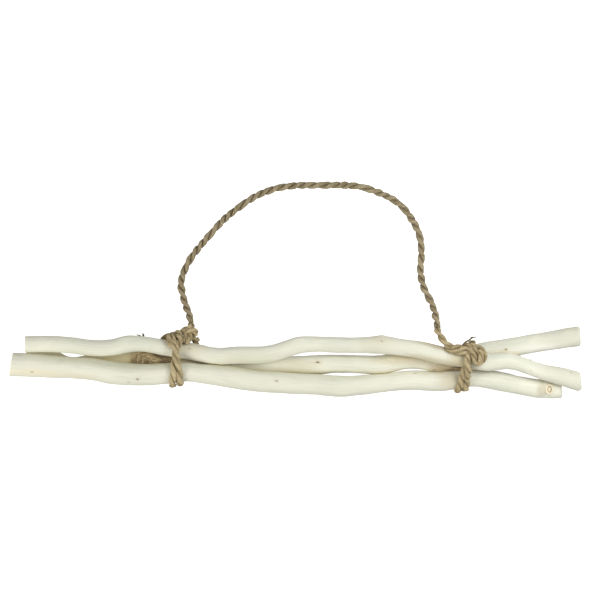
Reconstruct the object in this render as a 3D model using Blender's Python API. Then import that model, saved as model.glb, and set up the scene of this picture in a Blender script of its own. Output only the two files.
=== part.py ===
"""A bundle of three peeled branches, lashed in two places with one jute rope.

The branches are solid wood, wavy and slightly knotty, sawn off at both ends. Each lashing
is two turns of rope round all three branches with a knot on top, and the middle of the
rope lies beside the bundle as a loose carrying loop.

Frame: +X runs along the branches, +Y towards the rope loop, +Z up. The bundle lies on
z = 0, with its origin under the middle of its box. Lists and sizes are in millimetres,
and MM turns them into Blender's metres.
"""
import math

import bmesh
import bpy
import numpy as np
from mathutils import Matrix, Vector
from mathutils.geometry import convex_hull_2d

MM = 0.001

# ---------------------------------------------------------------- driving dimensions
ROPE = 7.0            # rope thickness
KNOT_ROPE = 6.3       # and where it is pulled tight in a knot
PRESSED_ROPE = 5.0    # and where it is pulled flat against the wood
GAP = 0.4             # clearance that touching pieces keep
RING_STEP = 10.5      # distance between the rings of a branch
BRANCH_DETAIL = 5     # bevel resolution of a branch: 14 sides
ROPE_DETAIL = 2       # bevel resolution of a rope: 8 sides
OVERHANG = 12.0       # wood left past each saw cut before it is cut off
MIDDLE = (-0.2, 2.1, 0.22)   # the middle of the bundle's foot, in the numbers below

# A branch is a list of stations from its left end to its right: x, y, z, thickness.
# Front branch: on top of the two others at both lashings.
FRONT_BRANCH = [
    (-284.0, 18.8, 31.0, 16.6),
    (-249.5, 19.0, 31.2, 17.0),
    (-229.0, 17.0, 30.9, 16.9),
    (-216.0, 15.0, 30.6, 16.5),
    (-193.0, 15.2, 30.2, 16.9),
    (-177.0, 19.0, 29.8, 17.6),
    (-165.5, 19.5, 29.4, 16.2),
    (-151.0, 17.5, 28.6, 15.8),
    (-125.5, 13.0, 28.1, 16.2),
    (-100.5, 9.5, 29.2, 17.0),
    (-81.5, 6.0, 31.0, 17.2),
    (-62.5, 7.3, 32.0, 17.8),
    (-35.5, 7.3, 32.4, 17.8),
    (-20.5, 10.0, 32.2, 17.4),
    (-6.0, 15.0, 31.6, 17.4),
    (3.5, 18.0, 31.2, 17.6),
    (17.0, 19.0, 30.6, 16.2),
    (46.5, 17.9, 29.8, 16.1),
    (78.0, 17.8, 29.2, 16.8),
    (92.0, 18.3, 29.3, 18.6),
    (104.5, 16.4, 29.9, 17.2),
    (130.5, 12.7, 32.6, 17.6),
    (151.5, 7.5, 34.6, 17.4),
    (175.0, 3.5, 35.2, 17.0),
    (190.0, 0.9, 34.4, 17.6),
    (204.0, -0.3, 33.0, 17.6),
    (223.0, 1.6, 30.9, 16.8),
    (235.5, -1.9, 28.2, 15.4),
    (246.0, -5.8, 25.6, 15.4),
    (257.0, -9.9, 23.6, 15.9),
    (278.0, -14.6, 23.6, 18.4),
    (300.0, -20.4, 23.4, 19.2),
]

# Back branch: the lowest one, on the ground at its left end.
BACK_BRANCH = [
    (-283.0, 4.5, 8.9, 17.4),
    (-260.0, 3.5, 8.9, 17.8),
    (-250.0, 1.6, 8.7, 17.2),
    (-241.5, -2.8, 8.4, 16.0),
    (-231.0, -3.6, 8.3, 15.6),
    (-220.5, -2.0, 8.6, 16.2),
    (-201.5, 1.5, 10.0, 16.8),
    (-174.0, 3.0, 12.8, 16.8),
    (-148.0, 2.5, 15.0, 16.8),
    (-125.5, 1.5, 15.8, 16.8),
    (-95.5, -2.5, 14.8, 17.2),
    (-63.5, -3.5, 14.2, 17.6),
    (-35.5, -4.0, 14.6, 17.8),
    (4.5, -3.5, 15.6, 18.4),
    (23.5, -3.0, 15.8, 19.8),
    (39.0, -2.0, 16.0, 18.2),
    (67.5, -2.5, 16.2, 18.2),
    (87.0, -3.2, 16.4, 19.4),
    (118.0, 2.6, 16.5, 18.6),
    (130.5, 2.3, 16.5, 18.4),
    (144.5, -0.4, 16.5, 19.3),
    (158.0, 0.4, 16.5, 18.9),
    (172.0, 3.2, 16.6, 18.6),
    (193.5, 10.5, 16.8, 18.2),
    (221.0, 14.0, 17.2, 19.2),
    (246.5, 19.0, 17.8, 18.8),
    (272.5, 23.2, 18.4, 19.4),
    (298.0, 26.8, 19.2, 20.6),
]

# Lower branch: the thickest, high at its left end and near the ground at its right.
LOWER_BRANCH = [
    (-300.0, -2.0, 28.7, 24.0),
    (-289.5, -3.0, 28.8, 23.8),
    (-263.5, -4.5, 28.8, 23.2),
    (-233.0, -6.0, 28.8, 22.4),
    (-211.0, -8.0, 29.0, 23.2),
    (-195.0, -11.0, 29.4, 23.6),
    (-176.0, -13.0, 29.9, 22.6),
    (-151.0, -13.0, 30.4, 21.8),
    (-134.0, -12.0, 30.6, 21.0),
    (-117.5, -10.3, 30.8, 19.4),
    (-102.5, -11.7, 31.0, 19.4),
    (-79.5, -14.3, 30.7, 21.2),
    (-37.5, -20.0, 27.8, 22.0),
    (-11.0, -22.2, 25.2, 21.4),
    (20.5, -23.5, 22.8, 21.0),
    (51.0, -25.5, 20.8, 22.0),
    (67.5, -24.5, 20.2, 20.2),
    (94.0, -22.0, 18.4, 19.0),
    (120.0, -19.0, 17.0, 19.4),
    (149.5, -20.3, 16.6, 20.0),
    (160.0, -19.5, 16.6, 20.4),
    (171.0, -18.0, 16.4, 19.2),
    (184.0, -17.0, 16.2, 16.6),
    (200.0, -18.1, 15.2, 18.0),
    (217.0, -20.8, 14.4, 19.9),
    (235.5, -24.8, 13.2, 18.6),
    (254.5, -28.0, 12.0, 19.4),
    (269.5, -29.0, 11.2, 18.4),
    (280.5, -29.0, 10.8, 17.0),
]

# Saw cuts: the x where the cut crosses the branch's middle, and how far it leans, in
# degrees, so that the top edge (towards +Y) sits further right.
FRONT_CUTS = ((-284.3, 0.0), (300.2, 2.5))
BACK_CUTS = ((-283.6, 2.0), (299.4, -4.0))
LOWER_CUTS = ((-299.2, 9.0), (280.2, -3.0))

# The sawn-off side twig of the lower branch: place, lean and size.
STUB_PLACE = (266.5, -28.5, 19.0)
STUB_LENGTH = 5.0
STUB_THICK = (7.4, 9.4)

# Lashings: the middle of the two turns along X and how far apart they are, each at the
# bundle's lower side (-Y), where they cross on the visible side, and at its upper side.
# Cross is how far up the visible side that is.
LEFT_TURNS = {"middle": (-125.4, -125.2, -127.6), "apart": (7.9, 1.5, -8.9), "cross": 0.60}
RIGHT_TURNS = {"middle": (173.7, 179.6, 182.5), "apart": (7.2, 2.0, -5.8), "cross": 0.42}
TURN_POINTS = 38      # points in one turn

# Where the free loop leaves each knot, and the way it points.
LEFT_EXIT, LEFT_WAY = (-110.0, 40.5, 24.0), (-0.16, 0.78, -0.60)
RIGHT_EXIT, RIGHT_WAY = (148.8, 35.5, 31.5), (-0.06, 0.80, -0.60)
NECK = 7.0            # straight rope before and after an exit

# Rope ends and loops of the knots: thickness, and points by hand.
LEFT_KNOT = {
    "front_loop": (5.6, [(-120, 27.5, 29), (-117, 30.5, 33.5), (-112, 32.6, 36.5), (-107.2, 32.4, 36.3),
                         (-104.9, 30, 33.5), (-106.2, 27, 31), (-109, 24.7, 29), (-110.4, 22.4, 25.8)]),
    "tucked_end": (5.0, [(-119.5, 31, 31.5), (-117.6, 28.5, 33), (-116.4, 25.5, 33.5), (-116, 23.2, 33.8),
                         (-116, 20.8, 35.4)]),
    "short_tail": (6.0, [(-108.5, 28.5, 27), (-106, 26.3, 24.5), (-104, 23.3, 21.5), (-102.6, 20.6, 18.5)]),
    "under_turns": (5.6, [(-133, 26.2, 27), (-129, 25.8, 28.5), (-124, 25.6, 29.5), (-119, 26.5, 30)]),
    "neck": (KNOT_ROPE, [(-141.5, 24.4, 17.5), (-138, 25.6, 21), (-133, 27, 26.5), (-127, 27.8, 30.5),
                         (-121, 29.2, 32.3), (-115, 31.6, 31.8)]),
}
RIGHT_KNOT = {
    "neck": (KNOT_ROPE, [(185.5, 10, 47.5), (179, 13, 48.5), (172, 14.8, 46), (164, 15.6, 43.6),
                         (157.5, 19.2, 41.5), (153, 25.5, 38.5)]),
    "lower_lay": (5.4, [(158, 17, 42), (162.5, 12.4, 45.2), (169.5, 10.8, 47.4), (176, 10.2, 49),
                        (182.5, 8.4, 49)]),
    "first_wrap": (6.0, [(178.6, 18, 44.5), (181.4, 15.3, 48.8), (184.3, 11, 52), (186.8, 6, 53),
                         (188.3, 1.6, 51), (189.4, -2, 47.6)]),
    "outer_coil": (6.0, [(187, 13, 45), (190, 14.4, 47), (194.4, 13.8, 48), (197.6, 10.6, 48.2),
                         (198.4, 6, 48), (196.4, 1.8, 47.6), (193, -0.8, 47.4), (189, -1.2, 47.2)]),
    "inner_coil": (5.4, [(189.5, 8.5, 50), (192.5, 9.6, 51.5), (195.2, 7.2, 52), (194.2, 3.6, 51.6),
                         (191.2, 2.2, 50.5)]),
}

# The frayed rope end that lies in the groove between the front and the lower branch:
# x, y, z and thickness.
FRAYED_TAIL = [
    (-123, 2, 38.5, 5.0), (-126.5, 2, 33, 5.2), (-134, 2.2, 29.4, 5.4), (-145, 3.4, 28.6, 6.4),
    (-156, 4.4, 27.2, 7.4), (-165, 4.8, 26, 7.6), (-171.5, 5.2, 25.6, 5.0),
]

# The free loop, between the two exits. It comes down to the ground and lies on it.
LOOP_ROUTE = [
    (-116.6, 62.0, 9.0), (-119.3, 71.5, 5.1), (-120.8, 80.0, 4.1), (-119.0, 91.5, 3.95),
    (-113.5, 104.0, 3.95), (-107.5, 113.5, 3.95), (-100.0, 122.5, 3.95), (-91.5, 132.5, 3.95),
    (-77.5, 148.0, 3.95), (-59.5, 163.0, 3.95), (-42.0, 174.5, 3.95), (-19.5, 183.0, 3.95),
    (3.5, 186.0, 3.95), (23.5, 186.0, 3.95), (46.5, 186.0, 3.95), (68.5, 184.3, 3.95),
    (89.0, 177.6, 3.95), (109.0, 166.5, 3.95), (121.5, 151.5, 3.95), (130.5, 133.5, 3.95),
    (132.5, 114.0, 3.95), (131.5, 95.0, 4.1), (135.0, 78.5, 6.3), (143.3, 61.0, 13.5),
]
LOOP_STEP = 9.5       # distance between the points of the loop's tube

WOOD = ("peeled_wood", (0.83, 0.82, 0.72, 1.0), 0.6)
JUTE = ("jute_rope", (0.36, 0.29, 0.18, 1.0), 0.9)


# ---------------------------------------------------------------- small helpers
def clear_scene():
    """Remove every object that the new file came with."""
    for thing in list(bpy.data.objects):
        bpy.data.objects.remove(thing, do_unlink=True)


def new_collection(name):
    group = bpy.data.collections.new(name)
    bpy.context.scene.collection.children.link(group)
    return group


def plain_material(name, color, roughness):
    """A Principled BSDF material of one colour."""
    material = bpy.data.materials.new(name)
    material.use_nodes = True
    shader = material.node_tree.nodes["Principled BSDF"]
    shader.inputs["Base Color"].default_value = color
    shader.inputs["Roughness"].default_value = roughness
    shader.inputs["Metallic"].default_value = 0.0
    material.diffuse_color = color
    return material


def smooth_rows(rows, step):
    """Rows of numbers along a smooth curve through the given rows, about step apart.

    The first three numbers of a row are its place. Each row's slope is that of the parabola
    through it and its two neighbours, and cubic pieces join them.
    """
    rows = np.array(rows, dtype=float)
    spans = np.linalg.norm(np.diff(rows[:, :3], axis=0), axis=1)
    way = np.concatenate([[0.0], np.cumsum(spans)])
    slopes = np.gradient(rows, way, axis=0)
    places = np.linspace(0.0, way[-1], max(2, round(way[-1] / step) + 1))
    piece = np.clip(np.searchsorted(way, places, side="right") - 1, 0, len(rows) - 2)
    width = (way[piece + 1] - way[piece])[:, None]
    t = (places - way[piece])[:, None] / width
    start = rows[piece] * (1 + 2 * t) * (1 - t) ** 2 + slopes[piece] * width * t * (1 - t) ** 2
    end = rows[piece + 1] * t * t * (3 - 2 * t) + slopes[piece + 1] * width * t * t * (t - 1)
    return start + end


def tube(name, points, thickness, detail, closed=False):
    """A filled tube: a POLY curve with a round bevel. Thickness is one number or a list."""
    curve = bpy.data.curves.new(name, "CURVE")
    curve.dimensions = "3D"
    curve.bevel_depth = MM
    curve.bevel_resolution = detail
    curve.use_fill_caps = True
    curve.render_resolution_u = 0
    spline = curve.splines.new("POLY")
    spline.points.add(len(points) - 1)
    spline.use_cyclic_u = closed
    widths = np.broadcast_to(thickness, len(points))
    for knot, point, width in zip(spline.points, points, widths):
        knot.co = (point[0] * MM, point[1] * MM, point[2] * MM, 1.0)
        knot.radius = width / 2
    return bpy.data.objects.new(name, curve)


def as_mesh(thing, group):
    """Turn a tube into a mesh object of the same name, with its caps welded on."""
    group.objects.link(thing)
    bpy.context.view_layer.update()
    evaluated = thing.evaluated_get(bpy.context.evaluated_depsgraph_get())
    mesh = bpy.data.meshes.new_from_object(evaluated)
    name, curve = thing.name, thing.data
    place = thing.matrix_world.copy()
    bpy.data.objects.remove(thing, do_unlink=True)
    bpy.data.curves.remove(curve)
    shape = bmesh.new()
    shape.from_mesh(mesh)
    bmesh.ops.remove_doubles(shape, verts=shape.verts, dist=0.00001)
    bmesh.ops.recalc_face_normals(shape, faces=shape.faces)
    shape.to_mesh(mesh)
    shape.free()
    mesh.name = name
    solid = bpy.data.objects.new(name, mesh)
    solid.matrix_world = place
    group.objects.link(solid)
    return solid


def join_with(solid, extras, cutters):
    """Fuse the extra solids into the first with exact Boolean unions."""
    for extra in extras:
        extra.hide_render = True
        extra.display_type = "WIRE"
        union = solid.modifiers.new("join_" + extra.name, "BOOLEAN")
        union.operation = "UNION"
        union.solver = "EXACT"
        union.object = extra
        cutters.objects.link(extra)
        for group in list(extra.users_collection):
            if group != cutters:
                group.objects.unlink(extra)


def finish(thing, material):
    """Give a piece its material and smooth shading."""
    thing.data.materials.clear()
    thing.data.materials.append(material)
    if thing.type == "MESH":
        thing.data.shade_smooth()
        thing.data.set_sharp_from_angle(angle=math.radians(40))


# ---------------------------------------------------------------- branches
def saw(mesh, cut, leans_left):
    """Cut a branch off flat at a leaning upright plane, and close the cut."""
    x, lean = cut
    across = Vector((math.cos(math.radians(lean)), -math.sin(math.radians(lean)), 0.0))
    shape = bmesh.new()
    shape.from_mesh(mesh)
    everything = list(shape.verts) + list(shape.edges) + list(shape.faces)
    middle = Vector((x * MM, middle_y(mesh, x) * MM, 0.0))
    bmesh.ops.bisect_plane(shape, geom=everything, dist=1e-7, plane_co=middle, plane_no=across,
                           clear_outer=not leans_left, clear_inner=leans_left)
    rim = [edge for edge in shape.edges if edge.is_boundary]
    bmesh.ops.edgeloop_fill(shape, edges=rim)
    bmesh.ops.recalc_face_normals(shape, faces=shape.faces)
    shape.to_mesh(mesh)
    shape.free()


def middle_y(mesh, x):
    """The branch's middle at x, in millimetres, from the points within one ring of it."""
    near = [v.co.y for v in mesh.vertices if abs(v.co.x / MM - x) < RING_STEP]
    return (min(near) + max(near)) / 2 / MM


def branch(name, stations, cuts, group):
    """A wavy tube through the stations, longer than the branch, then sawn to length."""
    rows = [list(row) for row in stations]
    first, last = list(rows[0]), list(rows[-1])
    first[0] -= OVERHANG
    last[0] += OVERHANG
    rows = smooth_rows([first] + rows + [last], RING_STEP)
    solid = as_mesh(tube(name, rows[:, :3], rows[:, 3], BRANCH_DETAIL), group)
    saw(solid.data, cuts[0], True)
    saw(solid.data, cuts[1], False)
    return solid


def stub():
    """The short sawn-off side twig on the lower branch: an oval cylinder, facing up."""
    mesh = bpy.data.meshes.new("stub")
    shape = bmesh.new()
    bmesh.ops.create_cone(shape, cap_ends=True, segments=14, radius1=0.5, radius2=0.42, depth=1.0)
    size = Vector((STUB_THICK[0], STUB_THICK[1], STUB_LENGTH)) * MM
    bmesh.ops.transform(shape, matrix=Matrix.Diagonal(size.to_4d()), verts=shape.verts)
    shape.to_mesh(mesh)
    shape.free()
    solid = bpy.data.objects.new("stub", mesh)
    solid.location = Vector(STUB_PLACE) * MM
    return solid


# ---------------------------------------------------------------- rope
def branch_at(stations, x):
    """Middle y, middle z and half thickness of a branch at x."""
    rows = np.array(stations)
    return [np.interp(x, rows[:, 0], rows[:, k]) for k in (1, 2)] + [
        np.interp(x, rows[:, 0], rows[:, 3]) / 2]


def tight_loop(places, reach):
    """The shortest loop round the three branches, kept a reach away from the wood.

    It clears the branches at all the given x. It starts at the lower side (-Y), goes over
    the top and comes back underneath, and its points are evenly spaced.
    """
    rim = []
    for stations in (FRONT_BRANCH, BACK_BRANCH, LOWER_BRANCH):
        for x in places:
            y, z, radius = branch_at(stations, x)
            for turn in np.linspace(0.0, 2 * math.pi, 72, endpoint=False):
                rim.append((y + (radius + reach) * math.cos(turn),
                            z + (radius + reach) * math.sin(turn)))
    hull = np.array([rim[k] for k in convex_hull_2d(rim)])
    area = np.dot(hull[:, 0], np.roll(hull[:, 1], -1)) - np.dot(hull[:, 1], np.roll(hull[:, 0], -1))
    if area > 0:
        hull = hull[::-1]
    hull = np.roll(hull, -int(np.argmin(hull[:, 0])), axis=0)
    hull = np.vstack([hull, hull[:1]])
    spans = np.linalg.norm(np.diff(hull, axis=0), axis=1)
    way = np.concatenate([[0.0], np.cumsum(spans)])
    stops = np.linspace(0.0, way[-1], TURN_POINTS, endpoint=False)
    return np.stack([np.interp(stops, way, hull[:, k]) for k in (0, 1)], axis=1)


def two_turns(turns):
    """One closed path of two turns round the bundle, which cross on the visible side.

    Where they are less than a rope's thickness apart, the second turn climbs over the first.
    """
    middle, apart, cross = turns["middle"], turns["apart"], turns["cross"]
    half = PRESSED_ROPE / 2
    stations = np.linspace(min(middle) - PRESSED_ROPE, max(middle) + PRESSED_ROPE, 6)
    loops = np.stack([tight_loop((x - half, x, x + half), half + 2 * GAP) for x in stations])
    centre = loops.mean(axis=(0, 1))
    top = int(np.argmax(loops[:, :, 0].mean(axis=0)))
    points = []
    for turn, side in enumerate((-1, 1)):
        for k in range(TURN_POINTS):
            lift = 0.0
            if k <= top:
                along = k / top
                gap = np.interp(along, (0.0, cross, 1.0), apart)
                x = np.interp(along, (0.0, cross, 1.0), middle) + side * gap / 2
                lift = turn * math.sqrt(max(0.0, (PRESSED_ROPE + GAP) ** 2 - gap ** 2))
            else:
                along = (k - top) / (TURN_POINTS - top)
                gap = np.interp(along, (0.0, 1.0), (apart[2], -apart[0]))
                x = np.interp(along, (0.0, 1.0), (middle[2], middle[0])) + side * gap / 2
            y, z = (np.interp(x, stations, loops[:, k, axis]) for axis in (0, 1))
            out = np.array([y, z]) - centre
            out = out / np.linalg.norm(out)
            points.append((x, y + out[0] * lift, z + out[1] * lift))
    return points


def knot_tubes(knot, prefix, group):
    """The knot's rope ends and loops, each a short tube."""
    pieces = []
    for name, (thickness, points) in knot.items():
        path = smooth_rows(points, KNOT_ROPE * 0.85)
        pieces.append(as_mesh(tube(prefix + name, path, thickness, ROPE_DETAIL), group))
    return pieces


def with_neck(run, exit_point, way):
    """A rope run of a knot, made to end straight at an exit."""
    thickness, points = run
    way = np.array(way) / np.linalg.norm(way)
    exit_point = np.array(exit_point)
    return thickness, points + [tuple(exit_point - way * NECK), tuple(exit_point)]


def lashing(name, turns, knot, extras, group, cutters):
    solid = as_mesh(tube(name, two_turns(turns), PRESSED_ROPE, ROPE_DETAIL, closed=True), group)
    join_with(solid, knot_tubes(knot, name + "_", group) + extras, cutters)
    return solid


def free_loop(group):
    """The rope's middle: from knot to knot, down to the ground and along it."""
    ends = []
    for exit_point, way in ((LEFT_EXIT, LEFT_WAY), (RIGHT_EXIT, RIGHT_WAY)):
        way = np.array(way) / np.linalg.norm(way)
        ends.append([np.array(exit_point) + way * reach for reach in (GAP, GAP + NECK)])
    route = ends[0] + [np.array(point) for point in LOOP_ROUTE] + ends[1][::-1]
    path = smooth_rows(route, LOOP_STEP)
    thing = tube("carrying_loop", path, ROPE, ROPE_DETAIL)
    group.objects.link(thing)
    return thing


# ---------------------------------------------------------------- the bundle
def stand_on_origin(pieces):
    """Parent everything to one empty, which puts the middle of the bundle's foot at 0, 0, 0."""
    foot = bpy.data.objects.new("bundle_foot", None)
    foot.location = -Vector(MIDDLE) * MM
    bpy.context.scene.collection.objects.link(foot)
    for piece in pieces:
        piece.parent = foot
    bpy.context.view_layer.update()


def main():
    clear_scene()
    parts = new_collection("branch_bundle")
    cutters = new_collection("joined_shapes")
    wood = plain_material(*WOOD)
    jute = plain_material(*JUTE)

    front = branch("front_branch", FRONT_BRANCH, FRONT_CUTS, parts)
    back = branch("back_branch", BACK_BRANCH, BACK_CUTS, parts)
    lower = branch("lower_branch", LOWER_BRANCH, LOWER_CUTS, parts)
    join_with(lower, [stub()], cutters)

    tail = np.array(FRAYED_TAIL)
    tail = smooth_rows(tail, ROPE * 0.8)
    frayed = as_mesh(tube("frayed_tail", tail[:, :3], tail[:, 3], ROPE_DETAIL), parts)
    left_knot = dict(LEFT_KNOT, neck=with_neck(LEFT_KNOT["neck"], LEFT_EXIT, LEFT_WAY))
    right_knot = dict(RIGHT_KNOT, neck=with_neck(RIGHT_KNOT["neck"], RIGHT_EXIT, RIGHT_WAY))
    left = lashing("left_lashing", LEFT_TURNS, left_knot, [frayed], parts, cutters)
    right = lashing("right_lashing", RIGHT_TURNS, right_knot, [], parts, cutters)
    loop = free_loop(parts)
    stand_on_origin(list(parts.objects) + list(cutters.objects))

    for thing in (front, back, lower):
        finish(thing, wood)
    for thing in (left, right, loop):
        finish(thing, jute)


main()
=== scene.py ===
# %% [markdown]
# # Three peeled branches and their rope
#
# A bundle of wavy, peeled and bleached branches lies on a table. One jute rope lashes it in
# two places, and between the two knots the rope makes a loose carrying loop. The packed
# solids give every place and size. This script gives the bundle its looks: wood with knots
# and saw cuts, and rope that is really laid from two strands.
#
# The solids could have been dressed with materials alone, but a rope's outline is its lay,
# and a branch's outline is its lumps. So each solid is measured and a fine mesh stands in
# its place.

# %% Load the frame
import math

import bmesh
import bpy
import numpy as np
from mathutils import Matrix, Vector
from mathutils.bvhtree import BVHTree
from mathutils.geometry import convex_hull_2d


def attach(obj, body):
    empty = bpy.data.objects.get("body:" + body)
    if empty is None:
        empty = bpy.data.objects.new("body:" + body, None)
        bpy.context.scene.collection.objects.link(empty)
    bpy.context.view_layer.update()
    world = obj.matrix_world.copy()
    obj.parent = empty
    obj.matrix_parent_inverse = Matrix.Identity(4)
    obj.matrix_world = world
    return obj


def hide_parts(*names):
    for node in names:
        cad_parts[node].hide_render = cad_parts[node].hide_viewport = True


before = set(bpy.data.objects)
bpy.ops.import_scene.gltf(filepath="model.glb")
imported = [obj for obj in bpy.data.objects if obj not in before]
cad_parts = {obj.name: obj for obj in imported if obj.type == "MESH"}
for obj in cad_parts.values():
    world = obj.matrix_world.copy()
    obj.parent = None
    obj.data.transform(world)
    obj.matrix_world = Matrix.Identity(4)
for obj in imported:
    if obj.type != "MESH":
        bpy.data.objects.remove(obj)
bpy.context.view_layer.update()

# %% [markdown]
# ## Units
#
# Lengths below are in millimetres, as a maker would measure them on the bench, from a bench mark near
# the middle of the bundle. The imported model has its origin under the middle of its box, so the given
# points are moved by that offset and turned into metres in one place.

# %% Bench millimetres to the frame's metres
MM = 0.001
BENCH_MARK = np.array((-0.2, 2.1, 0.22))


def from_bench(points):
    """Points in bench millimetres as points of the frame, in metres."""
    return (np.array(points, dtype=float) - BENCH_MARK) * MM


# %% [markdown]
# ## Camera
#
# The bundle is seen straight from above, as on a catalogue page. A short lens would lean
# the knots outwards and make the upper branch look larger, so the camera stands far off
# with a very long lens. The lens follows from the width that the square picture takes in.

# %% Camera
PICTURE_WIDTH = 625.2     # what the picture takes in at the bundle, mm
PICTURE_CENTRE = (1.94, 67.8, 25.0)
CAMERA_AWAY = 8000.0


def into_scene(name, data):
    """An object with the given data, linked to the scene."""
    thing = bpy.data.objects.new(name, data)
    bpy.context.scene.collection.objects.link(thing)
    return thing


camera_data = bpy.data.cameras.new("camera")
camera_data.sensor_width = 36.0
camera_data.lens = camera_data.sensor_width * CAMERA_AWAY / PICTURE_WIDTH
camera_data.clip_end = 100.0
camera = into_scene("camera", camera_data)
camera.location = Vector(from_bench(PICTURE_CENTRE)) + Vector((0.0, 0.0, CAMERA_AWAY * MM))
bpy.context.scene.camera = camera
bpy.context.scene.view_settings.view_transform = "Standard"
print("lens, mm:", round(camera_data.lens))

# %% [markdown]
# ## Smooth lines and rings
#
# Nearly everything here is a line with rings round it: branches, strands, fibres. Three helpers do
# most of that work. One reads a smooth curve through given points, one carries a pair of side
# directions along it without twisting them, and one joins rings into a skin. A curve object with a
# bevel could do the plain cases, but it can't be lumpy.

# %% Smooth lines and rings
def smooth_line(points, step):
    """Rows along a smooth curve through the given rows, about step apart.

    The first three numbers of a row are its place. Each row's slope is that of the parabola
    through it and its two neighbours, and cubic pieces join them.
    """
    rows = np.array(points, dtype=float)
    spans = np.linalg.norm(np.diff(rows[:, :3], axis=0), axis=1)
    way = np.concatenate([[0.0], np.cumsum(spans)])
    slopes = np.gradient(rows, way, axis=0)
    places = np.linspace(0.0, way[-1], max(2, round(way[-1] / step) + 1))
    piece = np.clip(np.searchsorted(way, places, side="right") - 1, 0, len(rows) - 2)
    width = (way[piece + 1] - way[piece])[:, None]
    t = (places - way[piece])[:, None] / width
    start = rows[piece] * (1 + 2 * t) * (1 - t) ** 2 + slopes[piece] * width * t * (1 - t) ** 2
    end = rows[piece + 1] * t * t * (3 - 2 * t) + slopes[piece + 1] * width * t * t * (t - 1)
    return start + end


def distance_along(line):
    """How far along the line each of its points is."""
    return np.concatenate([[0.0], np.cumsum(np.linalg.norm(np.diff(line, axis=0), axis=1))])


def read_off(stops, way, rows):
    """Rows that are known at the distances way, read off at the stops."""
    return np.stack([np.interp(stops, way, column) for column in rows.T], axis=-1)


def full_turn(count):
    """Evenly spaced angles all the way round."""
    return np.linspace(0.0, 2 * math.pi, count, endpoint=False)


def unit(vectors):
    return vectors / np.maximum(np.linalg.norm(vectors, axis=-1, keepdims=True), 1e-12)


def sides_along(line, start=(0.0, 0.0, 1.0)):
    """Unit vectors ahead, to one side and to the other, carried along with no twist."""
    ahead = unit(np.gradient(line, axis=0))
    side = np.empty_like(ahead)
    carried = np.array(start, dtype=float)
    for k, way in enumerate(ahead):
        carried = carried - way * np.dot(carried, way)
        carried = carried / np.linalg.norm(carried)
        side[k] = carried
    return ahead, side, np.cross(ahead, side)


def spokes(first, second, turn):
    """Unit vectors at angles from the first direction towards the second."""
    return np.cos(turn)[..., None] * first + np.sin(turn)[..., None] * second


def skin(rings, cap_start=True):
    """Points and faces of tubes through rings of points, shape (..., rings, points, 3)."""
    here = np.arange(rings[..., 0].size).reshape(rings.shape[:-1])
    after = np.roll(here, -1, axis=-1)
    corners = (here[..., :-1, :], after[..., :-1, :], after[..., 1:, :], here[..., 1:, :])
    faces = [np.stack(corners, axis=-1), here[..., 0, ::-1], here[..., -1, :]]
    if not cap_start:
        del faces[1]
    return rings.reshape(-1, 3), [rows.reshape(-1, rows.shape[-1]) for rows in faces]


# %% [markdown]
# ## Natural unevenness
#
# Wood and jute are never even. A sum of a few dozen plane waves with random directions is a
# smooth, repeatable unevenness for any set of points, and numpy works it out for a hundred
# thousand points at once. Stretching the points first stretches the lumps.

# %% Unevenness
def ripple(points, size, seed, waves=28):
    """Smooth random heights, about -1 to 1, with lumps of about the given size."""
    draw = np.random.default_rng(seed)
    points = np.atleast_2d(points)
    pushes = unit(draw.normal(size=(waves, points.shape[1])))
    pushes *= draw.uniform(0.6, 1.7, (waves, 1)) * 2 * math.pi / (2 * np.array(size))
    turns = draw.uniform(0.0, 2 * math.pi, waves)
    return np.sin(points @ pushes.T + turns).sum(axis=1) / math.sqrt(waves)


# %% [markdown]
# ## From shapes to pieces
#
# A shape is a small bundle of points, faces and values for the materials. Several shapes
# become one piece, because a knot is many rope ends but one thing. The values are stored as
# point attributes, so that grain and fibres stay on the surface however it bends, with no
# image and no unwrapping. A set of faces can be marked for another material, as at a saw cut.

# %% Shapes and pieces
SHARP_ANGLE = 50          # degrees; the saw cuts' edges are sharper than this


def shape(points, faces, marks=None, **values):
    """A shape: its points, its sets of faces with a material number each, and its values."""
    return {"points": points, "faces": faces, "marks": marks or [0] * len(faces),
            "values": values}


def piece(name, shapes, materials, slot, replaces=()):
    """Join shapes into one mesh object that rides on the bundle."""
    offset, points, corners, sizes, slots = 0, [], [], [], []
    for one in shapes:
        points.append(one["points"])
        for rows, mark in zip(one["faces"], one["marks"]):
            corners.append((rows + offset).ravel())
            sizes.append(np.full(len(rows), rows.shape[1]))
            slots.append(np.full(len(rows), mark))
        offset += len(one["points"])
    points, corners, sizes = np.vstack(points), np.concatenate(corners), np.concatenate(sizes)
    mesh = bpy.data.meshes.new(name)
    mesh.vertices.add(len(points))
    mesh.vertices.foreach_set("co", points.astype(np.float32).ravel())
    mesh.loops.add(len(corners))
    mesh.loops.foreach_set("vertex_index", corners.astype(np.int32))
    mesh.polygons.add(len(sizes))
    mesh.polygons.foreach_set("loop_start", (np.cumsum(sizes) - sizes).astype(np.int32))
    mesh.polygons.foreach_set("material_index", np.concatenate(slots).astype(np.int32))
    for key in shapes[0]["values"]:
        rows = np.concatenate([one["values"][key] for one in shapes]).astype(np.float32)
        kind, field = (("FLOAT", "value"), ("FLOAT_VECTOR", "vector"))[rows.ndim - 1]
        mesh.attributes.new(key, kind, "POINT").data.foreach_set(field, rows.ravel())
    mesh.update(calc_edges=True)
    mesh.validate()
    mesh.shade_smooth()
    mesh.set_sharp_from_angle(angle=math.radians(SHARP_ANGLE))
    for material in materials:
        mesh.materials.append(material)
    thing = into_scene(name, mesh)
    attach(thing, "root")
    if replaces:
        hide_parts(*replaces)
    print(f"{name}: {len(points)} points, {int((sizes - 2).sum())} triangles")
    return thing


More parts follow.
